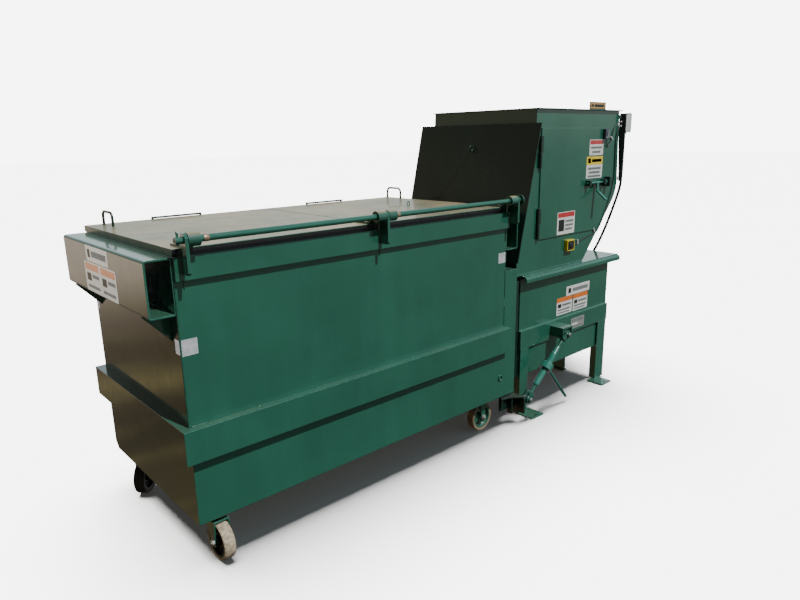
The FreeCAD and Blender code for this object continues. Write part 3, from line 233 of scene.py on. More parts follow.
DUST = rgb(168, 158, 138)
# Light teal edge colour: a painted highlight along edges, mixed with chips of worn paint.
TEAL_EDGE_WEAR_AND_HIGHLIGHT = rgb(84, 140, 132)
finishes = {
    "green_enamel": finish("Green enamel", rgb(38, 97, 80), rgb(29, 83, 68), (0.13, 0.26), coat=0.8,
                           edge=TEAL_EDGE_WEAR_AND_HIGHLIGHT, dust=DUST, dust_amount=0.1, waves=0.05),
    "dark_green_enamel": finish("Dark green enamel", rgb(22, 52, 43), rgb(14, 36, 30), (0.24, 0.4),
                                coat=0.4, edge=rgb(60, 100, 90), dust=DUST, dust_amount=0.12, waves=0.04),
    "lid_enamel": finish("Lid enamel", rgb(48, 96, 82), rgb(34, 78, 66), (0.24, 0.42), coat=0.3,
                         edge=TEAL_EDGE_WEAR_AND_HIGHLIGHT, dust=rgb(186, 163, 128), dust_amount=0.82, waves=0.06, mottle=2.0),
    "dark_iron": finish("Dark iron", rgb(52, 56, 52), rgb(24, 28, 26), (0.35, 0.55), metal=0.3,
                        edge=rgb(120, 120, 112), grain=(0.12, 120)),
    "worn_tread": finish("Worn tread", rgb(204, 188, 160), rgb(112, 102, 88), (0.65, 0.85),
                         grain=(0.3, 160), mottle=70, streak=0.1),
    "dark_tread": finish("Dark tread", rgb(58, 56, 52), rgb(30, 29, 27), (0.6, 0.8), grain=(0.2, 160),
                         mottle=14, streak=0.1),
    "brown_tread": finish("Brown tread", rgb(150, 130, 106), rgb(92, 78, 62), (0.6, 0.85),
                          grain=(0.22, 150), mottle=16, streak=0.1),
    "worn_steel": finish("Worn steel", rgb(150, 146, 138), rgb(96, 90, 82), (0.28, 0.5), metal=0.85,
                         edge=rgb(190, 188, 182), grain=(0.08, 90)),
    "tan_sign": finish("Tan sign", rgb(196, 160, 100), rgb(168, 130, 76), (0.35, 0.5),
                       edge=rgb(90, 66, 40), grain=(0.03, 200), mottle=20),
    "teal_enamel": finish("Teal enamel", rgb(44, 120, 104), rgb(24, 88, 78), (0.14, 0.26), coat=0.7,
                          edge=rgb(150, 190, 184), grain=(0.04, 160)),
    "switch_shell": finish("Switch shell", rgb(62, 68, 88), rgb(38, 42, 58), (0.3, 0.42),
                           edge=rgb(150, 156, 172), edge_radius=0.002, mottle=20),
    "yellow_housing": finish("Yellow housing", rgb(226, 204, 40), rgb(196, 172, 24), (0.32, 0.45),
                             edge=rgb(240, 226, 110), edge_radius=0.002, mottle=20),
    "dark_box": finish("Dark box", rgb(70, 78, 80), rgb(44, 50, 52), (0.38, 0.52),
                       edge=rgb(130, 138, 138), edge_radius=0.003, mottle=12),
    "pale_box": finish("Pale box", rgb(208, 212, 210), rgb(178, 184, 182), (0.34, 0.48),
                       edge=rgb(226, 228, 226), edge_radius=0.003, mottle=12),
    "black_sheath": finish("Black sheath", rgb(34, 35, 36), rgb(18, 19, 20), (0.4, 0.58),
                           grain=(0.1, 260), mottle=12),
    "grey_sheath": finish("Grey sheath", rgb(66, 68, 70), rgb(40, 42, 44), (0.42, 0.6),
                          grain=(0.08, 260), mottle=12),
    "cylinder_black": finish("Cylinder black", rgb(38, 40, 41), rgb(22, 23, 24), (0.24, 0.4), coat=0.3,
                             edge=rgb(110, 112, 112), grain=(0.04, 140), mottle=8),
    "chrome_rod": finish("Chrome rod", rgb(214, 216, 220), rgb(188, 190, 196), (0.06, 0.14), metal=1.0,
                         grain=(0.01, 300), mottle=10),
    "motor_grey": finish("Motor grey", rgb(112, 120, 126), rgb(84, 92, 98), (0.32, 0.5),
                         edge=rgb(160, 166, 170), grain=(0.1, 130), mottle=10),
    "binder_steel": finish("Binder steel", rgb(40, 104, 88), rgb(22, 70, 60), (0.18, 0.34), coat=0.5,
                           edge=rgb(160, 190, 182), grain=(0.06, 130), mottle=14),
}
MARK_WHITE = finish("Panel white", rgb(226, 228, 226), rgb(206, 208, 204), (0.2, 0.32), coat=0.7, mottle=14)
MARK_RED = finish("Panel red", rgb(196, 58, 62), rgb(170, 44, 48), (0.2, 0.32), coat=0.7, mottle=14)
MARK_YELLOW = finish("Panel yellow", rgb(236, 208, 44), rgb(214, 184, 28), (0.2, 0.32), coat=0.7, mottle=14)
MARK_ORANGE = finish("Panel orange", rgb(226, 122, 44), rgb(202, 100, 32), (0.2, 0.32), coat=0.7, mottle=14)
MARK_GREY = finish("Panel grey", rgb(122, 128, 130), rgb(96, 102, 104), (0.35, 0.5), mottle=14)
MARK_BLACK = finish("Panel black", rgb(34, 34, 36), rgb(22, 22, 24), (0.3, 0.45), mottle=14)
TAPE = finish("Silver tape", rgb(226, 228, 232), rgb(176, 180, 186), (0.3, 0.42), metal=0.2,
              grain=(0.3, 420), mottle=40, hatch=45)
BARE_ROD = finish("Bare rod", rgb(176, 150, 128), rgb(130, 106, 88), (0.3, 0.5), metal=0.4,
                  grain=(0.06, 200), mottle=30)
ZINC = finish("Zinc", rgb(206, 208, 206), rgb(160, 162, 160), (0.22, 0.4), metal=0.9,
              edge=rgb(230, 230, 226), edge_radius=0.002, grain=(0.05, 200), mottle=20)
BEAD = finish("Weld bead enamel", rgb(40, 98, 80), rgb(24, 70, 58), (0.22, 0.36), coat=0.3,
              grain=(0.2, 260), mottle=30)
PLATE_METAL = finish("Rating plate metal", rgb(196, 198, 194), rgb(168, 172, 168), (0.3, 0.45),
                     metal=0.6, grain=(0.04, 300), mottle=30)


def dress_nodes():
    """Every CAD node gets the finish of its material slot."""
    for part in frame["record"]["subparts"]:
        shown = nodes[part["node"]]
        shown.data.materials.clear()
        shown.data.materials.append(finishes[part["material_slot"]])


# ---------------------------------------------------------------- piece helpers
def mm(*parts):
    """A point given in millimetres, as a vector in metres."""
    return Vector(parts) / 1000


def piece(name, mesh, body, material, bevel=0.0):
    """A finished bmesh becomes a named piece that rides on a body."""
    data = bpy.data.meshes.new(name)
    bmesh.ops.recalc_face_normals(mesh, faces=mesh.faces)
    mesh.to_mesh(data)
    mesh.free()
    obj = bpy.data.objects.new(name, data)
    scene.collection.objects.link(obj)
    data.materials.append(material)
    if bevel:
        softened = obj.modifiers.new("Soft edges", "BEVEL")
        softened.width = bevel
        softened.segments = 2
        softened.limit_method = "ANGLE"
    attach(obj, body)
    return obj


def frame_of(normal, upward=(0, 0, 1)):
    """Axes across, up and out for a face with this normal."""
    out = Vector(normal).normalized()
    up = Vector(upward)
    up = (up - out * up.dot(out)).normalized()
    return up.cross(out), up, out


def plate(mesh, centre, axes, width, height, thick, corner=0.0, lift=0.0):
    """Add a thin rounded plate to a bmesh, standing on its face by lift."""
    across, up, out = axes
    ring = []
    steps = 4 if corner else 0
    for sx, sy, start in ((1, 1, 0), (-1, 1, 90), (-1, -1, 180), (1, -1, 270)):
        for step in range(steps + 1):
            turn = math.radians(start + 90 * step / max(steps, 1))
            ring.append((sx * (width / 2 - corner) + corner * math.cos(turn),
                         sy * (height / 2 - corner) + corner * math.sin(turn)))
    low = [mesh.verts.new(centre + across * u + up * w + out * lift) for u, w in ring]
    high = [mesh.verts.new(centre + across * u + up * w + out * (lift + thick)) for u, w in ring]
    mesh.faces.new(low[::-1])
    mesh.faces.new(high)
    for number in range(len(ring)):
        after = (number + 1) % len(ring)
        mesh.faces.new((low[number], low[after], high[after], high[number]))


def panel(name, body, centre, normal, width, height, base, blocks=(), upward=(0, 0, 1)):
    """A blank marking: a thin plate with plain colour blocks, given as shares of its size."""
    axes = frame_of(normal, upward)
    mesh = bmesh.new()
    plate(mesh, centre, axes, width, height, 0.0005, corner=0.006)
    piece(name, mesh, body, base)
    by_colour = {}
    for left, low, right, high, colour in blocks:
        by_colour.setdefault(colour.name, (colour, []))[1].append((left, low, right, high))
    for colour, shapes in by_colour.values():
        mesh = bmesh.new()
        for left, low, right, high in shapes:
            spot = (centre + axes[0] * ((left + right) / 2 - 0.5) * width
                    + axes[1] * ((low + high) / 2 - 0.5) * height)
            plate(mesh, spot, axes, (right - left) * width, (high - low) * height, 0.0002,
                  corner=0.001, lift=0.0005)
        piece(f"{name}_{colour.name.split()[-1]}", mesh, body, colour)


def weld_into(mesh, start, end, radius, ripple=0.006):
    """Add a rippled weld bead along a straight seam."""
    along = end - start
    count = max(4, int(along.length / ripple))
    side, up, _ = frame_of(along.normalized(), (0.31, 0.22, 1))
    rings = []
    for step in range(count + 1):
        share = step / count
        swell = radius * (0.82 + 0.22 * (step % 2) + 0.06 * math.sin(step * 2.7))
        if step in (0, count):
            swell *= 0.35
        middle = start + along * share
        rings.append([mesh.verts.new(middle + side * swell * math.cos(turn) + up * swell * math.sin(turn))
                      for turn in [math.tau * part / 8 for part in range(8)]])
    for first, second in zip(rings, rings[1:]):
        for part in range(8):
            after = (part + 1) % 8
            mesh.faces.new((first[part], first[after], second[after], second[part]))
    mesh.faces.new(rings[0][::-1])
    mesh.faces.new(rings[-1])
    for face in mesh.faces:
        face.smooth = True


def welds(name, body, seams, radius=0.0035):
    mesh = bmesh.new()
    for start, end in seams:
        weld_into(mesh, start, end, radius)
    piece(name, mesh, body, BEAD)


def turned_into(mesh, start, axis, rows, sides=24):
    """Add a solid of revolution: rows of (station along the axis, radius)."""
    side, up, out = frame_of(axis, (0.11, 0.9, 0.42))
    rings = []
    for station, radius in rows:
        rings.append([mesh.verts.new(start + out * station + side * radius * math.cos(math.tau * n / sides)
                                     + up * radius * math.sin(math.tau * n / sides)) for n in range(sides)])
    for first, second in zip(rings, rings[1:]):
        for n in range(sides):
            after = (n + 1) % sides
            made = mesh.faces.new((first[n], first[after], second[after], second[n]))
            made.smooth = sides > 8
    mesh.faces.new(rings[0][::-1])
    mesh.faces.new(rings[-1])


def bolt_into(mesh, base, axis, across=0.016, high=0.007, washer=True):
    """Add a hexagon head on a washer, with a turned chamfer and a domed tip."""
    start = 0.0
    if washer:
        turned_into(mesh, base, axis, ((0, across * 0.72), (0.0014, across * 0.72),
                                       (0.0016, across * 0.69)))
        start = 0.0016
    turned_into(mesh, base, axis, ((start, across * 0.56), (start + high * 0.86, across * 0.56),
                                   (start + high, across * 0.47)), 6)
    turned_into(mesh, base, axis, ((start + high, across * 0.3), (start + high * 1.25, across * 0.28),
                                   (start + high * 1.4, across * 0.18)), 16)


def bolts(name, body, places, axis, across=0.016, high=0.007, material=None,
          washer=True):
    mesh = bmesh.new()
    for base in places:
        bolt_into(mesh, base, axis, across, high, washer)
    return piece(name, mesh, body, material or ZINC, bevel=0.0004)


def torus_into(mesh, centre, axis, radius, wire, sides=28, around=10):
    side, up, out = frame_of(axis, (0.11, 0.9, 0.42))
    rings = []
    for n in range(sides):
        turn = math.tau * n / sides
        reach = side * math.cos(turn) + up * math.sin(turn)
        rings.append([mesh.verts.new(centre + reach * (radius + wire * math.cos(math.tau * k / around))
                                     + out * wire * math.sin(math.tau * k / around))
                      for k in range(around)])
    for n in range(sides):
        for k in range(around):
            made = mesh.faces.new((rings[n][k], rings[n][(k + 1) % around],
                                   rings[(n + 1) % sides][(k + 1) % around], rings[(n + 1) % sides][k]))
            made.smooth = True


# ---------------------------------------------------------------- floor, light and surroundings
def make_floor():
    """A plain pale floor, kept out of the object's reflections and bounced light."""
    mesh = bmesh.new()
    bmesh.ops.create_grid(mesh, x_segments=8, y_segments=8, size=FLOOR_HALF)
    data = bpy.data.meshes.new("Floor")
    mesh.to_mesh(data)
    mesh.free()
    floor = bpy.data.objects.new("Floor", data)
    scene.collection.objects.link(floor)
    material = bpy.data.materials.new("Floor paint")
    tree = Tree(material)
    coords = tree.add("ShaderNodeTexCoord").outputs["Object"]
    shader = tree.add("ShaderNodeBsdfPrincipled")
    out = tree.add("ShaderNodeOutputMaterial")
    tree.links.new(shader.outputs[0], out.inputs[0])
    tone = tree.noise(coords, 0.8, 4)
    paint = tree.blend(tone, (0.3, 0.296, 0.292, 1), (0.315, 0.31, 0.306, 1))
    tree.put(paint, shader.inputs["Base Color"])
    shader.inputs["Emission Color"].default_value = (1.0, 0.93, 0.86, 1)
    shader.inputs["Emission Strength"].default_value = 0.03
    shader.inputs["Roughness"].default_value = 0.9
    shader.inputs["Specular IOR Level"].default_value = 0.1
    data.materials.append(material)
    floor.visible_glossy = False
    floor.visible_diffuse = False
    return floor


def make_light(floor):
    """A hard sun that leaves out the floor, and a wide sun that lights only the floor."""
    data = bpy.data.lights.new("Key", "SUN")
    data.energy = KEY_POWER
    data.angle = math.radians(1.5)
    data.color = (1.0, 0.97, 0.92)
    key = bpy.data.objects.new("Key", data)
    key.rotation_euler = Vector(KEY_WAY).to_track_quat("-Z", "Y").to_euler()
    key.location = (0.5, -4, 5)
    scene.collection.objects.link(key)
    unlit = bpy.data.collections.new("Not lit by the key")
    unlit.objects.link(floor)
    key.light_linking.receiver_collection = unlit
    unlit.collection_objects[0].light_linking.link_state = "EXCLUDE"
    soft = bpy.data.lights.new("Floor light", "SUN")
    soft.energy = FLOOR_LIGHT_POWER
    soft.angle = math.radians(46)
    above = bpy.data.objects.new("Floor light", soft)
    above.rotation_euler = Vector(FLOOR_LIGHT_WAY).to_track_quat("-Z", "Y").to_euler()
    above.location = (-1, 0, 6)
    scene.collection.objects.link(above)
    lit = bpy.data.collections.new("Lit by the floor light")
    lit.objects.link(floor)
    above.light_linking.receiver_collection = lit


def light_left_markings():
    """A soft light from -X that reaches only the pale markings on that end."""
    data = bpy.data.lights.new("Left fill", "SUN")
    data.energy = FILL_POWER
    data.angle = math.radians(60)
    fill = bpy.data.objects.new("Left fill", data)
    fill.rotation_euler = Vector(FILL_WAY).to_track_quat("-Z", "Y").to_euler()
    fill.location = (-5, 0, 2)
    scene.collection.objects.link(fill)
    markings = bpy.data.collections.new("Lit by the left fill")
    for obj in scene.objects:
        if obj.name.startswith("pocket_panel") or obj.name in ("corner_tape_left", "far_tape"):
            markings.objects.link(obj)
    fill.light_linking.receiver_collection = markings


def paint_ramp(node, stops):
    """Give a colour ramp its stops."""
    ramp = node.color_ramp
    while len(ramp.elements) > 1:
        ramp.elements.remove(ramp.elements[-1])
    ramp.elements[0].position, ramp.elements[0].color = stops[0]
    for position, colour in stops[1:]:
        ramp.elements.new(position).color = colour


def make_surroundings():
    """White to the camera; to the object a dome tuned to the photograph's view, brown to -X."""
    world = bpy.data.worlds.new("Surroundings")
    scene.world = world
    tree = Tree(world)
    way = tree.add("ShaderNodeTexCoord").outputs["Generated"]
    split = tree.add("ShaderNodeSeparateXYZ")
    tree.links.new(way, split.inputs[0])
    yard = tree.add("ShaderNodeValToRGB")
    paint_ramp(yard, ((0.0, (0.05, 0.045, 0.04, 1)), (0.3, (0.1, 0.1, 0.085, 1)),
                      (0.4, (0.17, 0.17, 0.15, 1)), (0.49, (0.26, 0.27, 0.25, 1)),
                      (0.51, (0.5, 0.52, 0.48, 1)), (0.58, (0.74, 0.96, 1.0, 1)),
                      (0.72, (0.42, 0.6, 0.68, 1)), (1.0, (0.16, 0.26, 0.4, 1))))
    beyond = tree.add("ShaderNodeValToRGB")
    paint_ramp(beyond, ((0.0, (0.02, 0.014, 0.01, 1)), (0.22, (0.22, 0.18, 0.09, 1)),
                        (0.3, (0.1, 0.066, 0.04, 1)), (0.36, (0.18, 0.125, 0.08, 1)),
                        (0.385, (0.45, 0.35, 0.26, 1)), (0.405, (1.15, 0.95, 0.74, 1)),
                        (0.46, (1.5, 1.26, 1.0, 1)),
                        (0.5, (0.6, 0.5, 0.38, 1)), (0.56, (0.34, 0.29, 0.21, 1)),
                        (0.72, (0.34, 0.3, 0.24, 1)), (1.0, (0.12, 0.2, 0.3, 1))))
    height = tree.math("MULTIPLY_ADD", split.outputs[2], 0.5)
    height.node.inputs[2].default_value = 0.5
    for ramp in (yard, beyond):
        tree.put(height, ramp.inputs[0])
    leftward = tree.span(split.outputs[0], 0.0, -0.35)
    ripples = tree.noise(tree.stretch(way, (3.0, 3.0, 26.0)), 1.0, 3)
    below = tree.span(split.outputs[2], -0.14, -0.26)
    gilded = tree.math("MULTIPLY", tree.span(ripples, 0.5, 0.66), below)
    golden = tree.blend(tree.math("MULTIPLY", gilded, 0.75), beyond.outputs[0], (0.62, 0.5, 0.22, 1))
    seen = tree.blend(leftward, yard.outputs[0], golden)
    facing = tree.add("ShaderNodeVectorMath", operation="DOT_PRODUCT")
    tree.links.new(way, facing.inputs[0])
    facing.inputs[1].default_value = LEFT_END_MIRRORS
    toward = tree.span(facing.outputs["Value"], 0.72, 0.93)
    strength = tree.math("MULTIPLY", leftward, tree.math("SUBTRACT", 1.0, toward))
    seen = tree.blend(tree.math("MULTIPLY", strength, 0.8), seen, (0.02, 0.018, 0.016, 1))
    open_side = tree.math("MULTIPLY", tree.span(split.outputs[1], 0.15, 0.75),
                          tree.span(split.outputs[0], 0.0, 0.5))
    seen = tree.blend(tree.math("MULTIPLY", open_side, 0.7), seen, (0.95, 1.0, 0.98, 1))
    glow = tree.add("ShaderNodeBackground")
    tree.put(seen, glow.inputs[0])
    glow.inputs[1].default_value = 1.0
    white = tree.add("ShaderNodeBackground")
    white.inputs[0].default_value = (1, 1, 1, 1)
    white.inputs[1].default_value = BACKDROP_STRENGTH
    path = tree.add("ShaderNodeLightPath")
    mix = tree.add("ShaderNodeMixShader")
    tree.links.new(path.outputs["Is Camera Ray"], mix.inputs[0])
    tree.links.new(glow.outputs[0], mix.inputs[1])
    tree.links.new(white.outputs[0], mix.inputs[2])
    out = tree.add("ShaderNodeOutputWorld")
    tree.links.new(mix.outputs[0], out.inputs[0])


# ---------------------------------------------------------------- blank markings and tape
def make_markings():
    """Blank panels and tape where the real object has labels."""
    face = -0.4152
    normal = (0, -1, 0)
    panel("door_panel_upper", "door", Vector((0.262, face, 1.563)), normal, 0.154, 0.094,
          MARK_WHITE, ((0.03, 0.7, 0.97, 0.96, MARK_RED), (0.08, 0.42, 0.92, 0.56, MARK_GREY),
                       (0.2, 0.14, 0.8, 0.28, MARK_GREY)))
    panel("door_panel_middle", "door", Vector((0.251, face, 1.443)), normal, 0.18, 0.132,
          MARK_WHITE, ((0.0, 0.62, 1.0, 1.0, MARK_YELLOW), (0.08, 0.7, 0.26, 0.92, MARK_BLACK),
                       (0.32, 0.74, 0.92, 0.88, MARK_BLACK), (0.1, 0.4, 0.9, 0.5, MARK_GREY),
                       (0.16, 0.22, 0.84, 0.32, MARK_GREY), (0.1, 0.05, 0.9, 0.14, MARK_GREY)))
    panel("door_panel_lower", "door", Vector((-0.03, face, 1.126)), normal, 0.183, 0.134,
          MARK_WHITE, ((0.03, 0.76, 0.97, 0.97, MARK_RED), (0.08, 0.14, 0.4, 0.66, MARK_BLACK),
                       (0.46, 0.52, 0.92, 0.62, MARK_GREY), (0.46, 0.34, 0.9, 0.44, MARK_GREY),
                       (0.46, 0.16, 0.86, 0.26, MARK_GREY)))
    side = -0.4102
    panel("side_panel_top", "frame", Vector((0.15, side, 0.688)), normal, 0.262, 0.06,
          MARK_WHITE, ((0.08, 0.24, 0.2, 0.76, MARK_BLACK), (0.26, 0.3, 0.92, 0.7, MARK_GREY)))
    for name, x, wide, z in (("side_panel_left", 0.004, 0.166, 0.602),
                             ("side_panel_right", 0.181, 0.166, 0.6)):
        panel(name, "frame", Vector((x, side, z)), normal, wide, 0.11, MARK_WHITE,
              ((0.0, 0.74, 1.0, 1.0, MARK_ORANGE), (0.08, 0.42, 0.3, 0.64, MARK_BLACK),
               (0.36, 0.48, 0.92, 0.6, MARK_GREY), (0.08, 0.24, 0.9, 0.34, MARK_GREY),
               (0.08, 0.08, 0.84, 0.16, MARK_GREY)))
    panel("rating_plate", "frame", Vector((0.143, -0.4237, 0.468)), normal, 0.15, 0.07,
          PLATE_METAL, ((0.06, 0.6, 0.94, 0.9, MARK_GREY), (0.06, 0.34, 0.5, 0.5, MARK_WHITE),
                        (0.06, 0.1, 0.94, 0.24, MARK_GREY)))
    left = (-1, 0, 0)
    panel("pocket_panel_upper", "frame", Vector((-2.5862, 0.027, 1.208)), left,
          0.262, 0.064, MARK_WHITE, ((0.08, 0.24, 0.2, 0.76, MARK_BLACK), (0.26, 0.3, 0.92, 0.7, MARK_GREY)))
    panel("pocket_panel_lower", "frame", Vector((-2.5862, 0.012, 1.11)), left, 0.37, 0.124,
          MARK_WHITE, ((0.03, 0.72, 0.47, 0.95, MARK_ORANGE), (0.53, 0.72, 0.97, 0.95, MARK_ORANGE),
                       (0.06, 0.36, 0.2, 0.62, MARK_BLACK), (0.24, 0.48, 0.46, 0.6, MARK_GREY),
                       (0.56, 0.36, 0.7, 0.62, MARK_BLACK), (0.74, 0.48, 0.96, 0.6, MARK_GREY),
                       (0.06, 0.12, 0.46, 0.22, MARK_GREY), (0.56, 0.12, 0.94, 0.22, MARK_GREY)))
    for name, spot, way, wide, high in (
            ("corner_tape_near", Vector((-2.452, -0.4602, 0.916)), normal, 0.062, 0.062),
            ("corner_tape_left", Vector((-2.4852, -0.436, 0.916)), left, 0.046, 0.056),
            ("right_tape", Vector((-0.686, -0.4602, 1.004)), normal, 0.058, 0.056),
            ("far_tape", Vector((-2.4852, 0.44, 0.922)), left, 0.036, 0.046)):
        axes = frame_of(way)
        mesh = bmesh.new()
        plate(mesh, spot, axes, wide, high, 0.0004, corner=0.002)
        for step in range(3):
            plate(mesh, spot + axes[1] * high * (step - 1) * 0.3, axes, wide * 0.92, high * 0.05,
                  0.0002, lift=0.0004)
        piece(name, mesh, "frame", TAPE)


# ---------------------------------------------------------------- welds, nuts and small fittings
def make_container_details():
    """Welds, rod bands, split pin and rings of the container, with black strips and a black disc as painted
    shade in the lid gaps and the rod's hollow end.
    """
    near = -0.4605
    corner = (Vector((-2.4855, near, 0.61)), Vector((-2.4855, near, 1.16)))
    welds("corner_weld_left", "frame", [corner], 0.004)
    ticks = [(Vector((x, near, 1.128)), Vector((x, near, 1.163))) for x in (-2.45, -1.545, -0.66)]
    welds("rail_weld_ticks", "frame", ticks, 0.003)
    seams = []
    for x in (-2.4865, -0.6545):
        for z in (1.045, 1.243):
            seams.append((Vector((x, -0.44, z)), Vector((x, -0.30, z))))
            seams.append((Vector((x, 0.30, z)), Vector((x, 0.44, z))))
    welds("pocket_welds", "frame", seams, 0.003)
    seams = [(Vector((-2.48 + 0.28 * step, -0.4625, 0.609)), Vector((-2.41 + 0.28 * step, -0.4625, 0.609)))
             for step in range(6)]
    welds("band_stitch_welds", "frame", seams, 0.003)
    seams = [(Vector((-0.6555, near, low)), Vector((-0.6555, near, high)))
             for low, high in ((0.62, 0.74), (0.78, 0.94), (0.98, 1.03))]
    welds("right_edge_welds", "frame", seams, 0.003)
    mesh = bmesh.new()
    for x in (-2387, -1492):
        turned_into(mesh, mm(x, -512, 1312), (1, 0, 0), ((0, 0.0126), (0.001, 0.0132), (0.019, 0.0132),
                                                         (0.02, 0.0126)), 32)
    piece("hinge_rod_bare_bands", mesh, "frame", BARE_ROD)
    low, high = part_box("lid_hinge_rod")
    # A black disc on the rod's end: painted shade of its hollow bore.
    mesh = bmesh.new()
    turned_into(mesh, Vector((low.x, -0.512, 1.312)), (-1, 0, 0), ((-0.002, 0.0074), (0.0004, 0.0074)), 24)
    piece("hinge_rod_bore_shade", mesh, "frame", MARK_BLACK)
    mesh = bmesh.new()
    spot = Vector((low.x + 0.009, -0.512, 1.295))
    turned_into(mesh, spot, (0, 0, 1), ((0, 0.0015), (0.001, 0.0022), (0.04, 0.0022), (0.041, 0.0015)), 12)
    torus_into(mesh, spot + Vector((0, 0, 0.044)), (1, 0, 0), 0.0035, 0.0016, 20, 8)
    piece("hinge_rod_split_pin", mesh, "frame", finishes["green_enamel"])
    mesh = bmesh.new()
    torus_into(mesh, mm(-678, -463, 314), (0, 1, 0), 0.0145, 0.0035)
    piece("container_drain_ring", mesh, "frame", BEAD)
    mesh = bmesh.new()
    torus_into(mesh, mm(-960, -20, 1289), (0.35, -1, 0.1), 0.0125, 0.0028)
    piece("right_lid_ring", mesh, "right lid", finishes["teal_enamel"])
    axes = frame_of((0, -1, 0))
    # Black strips on the near face under each lid: painted shade of the gap between lid and wall, not a
    # part.
    for side in ("left", "right"):
        low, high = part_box(f"{side}_lid")
        mesh = bmesh.new()
        plate(mesh, Vector(((low.x + high.x) / 2, -0.4601, 1.2622)), axes, high.x - low.x - 0.002,
              0.0235, 0.0008)
        piece(f"{side}_lid_rubber_edge", mesh, f"{side} lid", MARK_BLACK)
    # A black strip at the bottom of the seam between the lids: painted shade of the gap.
    mesh = bmesh.new()
    plate(mesh, mm(-1555, 20, 1273.6), frame_of((0, 0, 1), (0, 1, 0)), 0.0054, 0.94, 0.0008)
    piece("lid_seam_shade", mesh, "left lid", MARK_BLACK)


def make_caster_details():
    """A nut on each end of each axle."""
    for name, body in (("near_left", "near left swivel"), ("far_left", "far left swivel"),
                       ("near_right", "frame"), ("far_right", "frame")):
        joint = next(j for j in frame["joints"] if j["name"] == f"{name}_wheel_spin")
        centre = Vector(joint["pos_m"])
        axle = Vector(joint["axis"]).normalized()
        mesh = bmesh.new()
        for way in (axle, -axle):
            bolt_into(mesh, centre + way * 0.0337, way, 0.024, 0.008)
        piece(f"{name}_axle_nuts", mesh, body, ZINC, bevel=0.0005)


def make_hopper_details():
    """Foot welds, and the screws and border of the rim sign."""
    near = -0.4085
    seams = [(Vector((-0.486, near, 0.863)), Vector((0.178, near, 0.863))),
             (Vector((-0.486, 0.3835, 0.863)), Vector((0.178, 0.3835, 0.863)))]
    welds("hopper_foot_welds", "frame", seams, 0.004)
    spots = [mm(163, -424, 1809), mm(313, -424, 1809)]
    bolts("rim_sign_screws", "frame", spots, (0, -1, 0), 0.007, 0.002, ZINC, washer=False)
    axes = frame_of((0, -1, 0))
    mesh = bmesh.new()
    for across, up, wide, high in ((0, 18.5, 174, 4), (0, -18.5, 174, 4), (-85, 0, 4, 33), (85, 0, 4, 33)):
        plate(mesh, mm(238 + across, -424, 1808.5 + up), axes, wide / 1000, high / 1000, 0.0006)
    for across, wide in ((-60, 26), (14, 104)):
        plate(mesh, mm(238 + across, -424, 1808.5), axes, wide / 1000, 0.015, 0.0005, corner=0.002)
    piece("rim_sign_border", mesh, "frame", MARK_BLACK)


def make_sensor_details():
    """Windows, screws, glands and clips of the sensors and their box."""
    axes = frame_of((0, -1, 0))
    mesh = bmesh.new()
    plate(mesh, mm(12, -431, 985), axes, 0.064, 0.054, 0.0012, corner=0.006)
    turned_into(mesh, mm(12, -432, 985), (0, -1, 0),
                ((0, 0.016), (0.003, 0.016), (0.004, 0.013), (0.0035, 0.008)))
    piece("photo_eye_window", mesh, "frame", MARK_BLACK)
    bolts("photo_eye_screws", "frame", [mm(-21, -431, 957), mm(45, -431, 1013)], (0, -1, 0), 0.006, 0.0015,
          ZINC, washer=False)
    mesh = bmesh.new()
    plate(mesh, mm(370, -430, 1642), axes, 0.018, 0.05, 0.001, corner=0.003)
    piece("switch_face", mesh, "frame", MARK_GREY)
    bolts("switch_screws", "frame", [mm(370, -431, 1622), mm(370, -431, 1662)], (0, -1, 0), 0.007, 0.002,
          ZINC, washer=False)
    bolts("magnet_screws", "door", [mm(340, -435, 1622), mm(340, -435, 1662)], (0, -1, 0), 0.007, 0.002,
          ZINC, washer=False)
    corners = [mm(x, -444, z) for x in (558, 605) for z in (1660, 1761)]
    bolts("junction_cover_screws", "frame", corners, (0, -1, 0), 0.007, 0.002, ZINC,
          washer=False)
    mesh = bmesh.new()
    for z in (1690, 1716):
        turned_into(mesh, mm(550, -411, z), (-1, 0, 0), ((0, 0.0085), (0.006, 0.0085)), 6)
        turned_into(mesh, mm(544, -411, z), (-1, 0, 0), ((0, 0.007), (0.006, 0.006), (0.008, 0.0045)), 20)
    piece("cable_glands", mesh, "frame", MARK_WHITE, bevel=0.0005)
    mesh = bmesh.new()
    for x, z, lean in ((438, 1616, 0.9), (110, 992, 0.1), (290, 1048, 0.45)):
        across = Vector((math.cos(lean), 0, math.sin(lean)))
        plate(mesh, mm(x, -408, z) + Vector((0, 0, 0)), frame_of((0, -1, 0), across), 0.03, 0.009, 0.0088,
              corner=0.002)
    piece("cable_clips", mesh, "frame", TAPE, bevel=0.0008)
    bolts("tail_bolt", "frame", [mm(548, -420, 1404)], (0.0, -1, 0), 0.01, 0.003, ZINC)


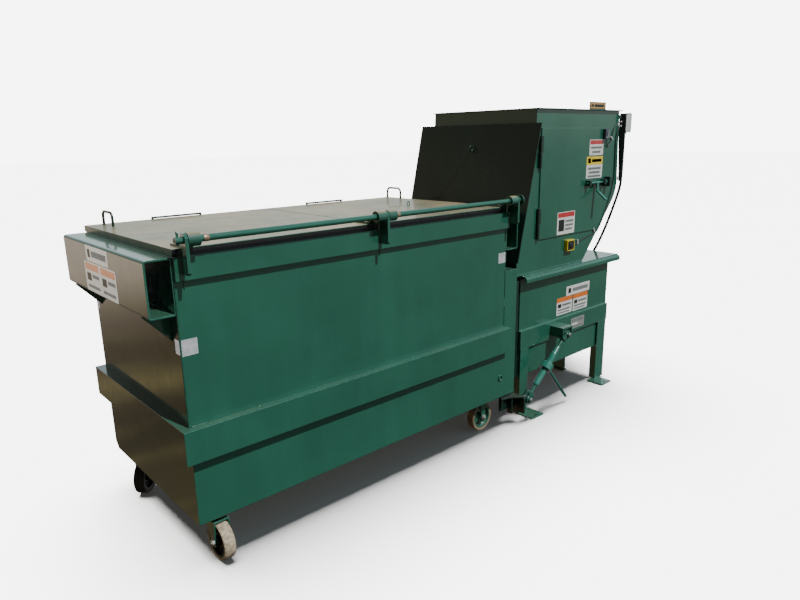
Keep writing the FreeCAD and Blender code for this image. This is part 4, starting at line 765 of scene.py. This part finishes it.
def make_power_details():
    """Fittings, sight glass and welds of the power unit."""
    low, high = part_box("electric_motor")
    middle = (low + high) / 2
    mesh = bmesh.new()
    for part in range(28):
        turn = math.tau * part / 28
        out = Vector((math.cos(turn), math.sin(turn), 0))
        if out.y < -0.55:
            continue
        plate(mesh, Vector((middle.x, middle.y, middle.z + 0.004)) + out * 0.0655,
              frame_of(out), 0.003, high.z - low.z - 0.03, 0.0045)
    piece("motor_fins", mesh, "frame", finishes["motor_grey"])
    mesh = bmesh.new()
    plate(mesh, mm(620, 140, 645), frame_of((0, -1, 0)), 0.074, 0.074, 0.0025, corner=0.005)
    piece("motor_terminal_cover", mesh, "frame", finishes["motor_grey"], bevel=0.0008)
    corners = [mm(620 + x, 137.5, 645 + z) for x in (-31, 31) for z in (-31, 31)]
    bolts("motor_box_screws", "frame", corners, (0, -1, 0), 0.006, 0.002, ZINC, washer=False)
    mesh = bmesh.new()
    turned_into(mesh, mm(622, 137.4, 652), (0.19, -0.96, 0.19),
                ((0, 0.0125), (0.012, 0.0125), (0.013, 0.0105),
                                                                 (0.018, 0.0095)), 24)
    turned_into(mesh, mm(559.5, -428, 1651.8), (0, 0, -1), ((0, 0.0125), (0.01, 0.0125), (0.012, 0.0095),
                                                           (0.016, 0.009)), 24)
    piece("conduit_glands", mesh, "frame", MARK_BLACK)
    mesh = bmesh.new()
    for spot, way, reach in ((mm(575, 320, 610), (-1, 0, 0), 0.016),
                             (mm(665, 320, 610), (1, 0, -0.1), 0.017),
                             (mm(541, 65, 547), (-0.33, 0.88, 0.33), 0.016),
                             (mm(653, 64.5, 545), (0.36, 0.93, 0.1), 0.016)):
        turned_into(mesh, spot, way, ((0, 0.0125), (0.006, 0.0125)), 6)
        turned_into(mesh, spot + Vector(way).normalized() * 0.006, way,
                    ((0, 0.0105), (reach - 0.008, 0.0105), (reach - 0.006, 0.0095)), 24)
    piece("hose_fittings", mesh, "frame", ZINC, bevel=0.0004)
    mesh = bmesh.new()
    plate(mesh, mm(725, 200, 440), frame_of((1, 0, 0)), 0.022, 0.12, 0.006, corner=0.006)
    piece("tank_sight_frame", mesh, "frame", ZINC, bevel=0.001)
    mesh = bmesh.new()
    plate(mesh, mm(731, 200, 440), frame_of((1, 0, 0)), 0.01, 0.09, 0.0012, corner=0.004)
    piece("tank_sight_glass", mesh, "frame", MARK_YELLOW)
    seams = [(mm(515.5, 134.5, z), mm(724.5, 134.5, z)) for z in (331, 559)]
    seams += [(mm(725.5, 136, z), mm(725.5, 404, z)) for z in (331, 559)]
    welds("tank_welds", "frame", seams, 0.003)


def make_binder_details():
    """Heads on the pins of both binders."""
    for side, name in ((-1, "near"), (1, "far")):
        spots = [mm(-470, side * 530, 138), mm(-100, side * 530, 455)]
        mesh = bmesh.new()
        for base in spots:
            turned_into(mesh, base, (0, side, 0), ((0, 0.0125), (0.0015, 0.0125), (0.003, 0.0095)))
        piece(f"{name}_pin_heads", mesh, "frame", ZINC)


make_camera()
dress_nodes()
floor = make_floor()
make_light(floor)
make_surroundings()
make_markings()
make_container_details()
make_caster_details()
make_hopper_details()
make_sensor_details()
make_power_details()
make_binder_details()
light_left_markings()
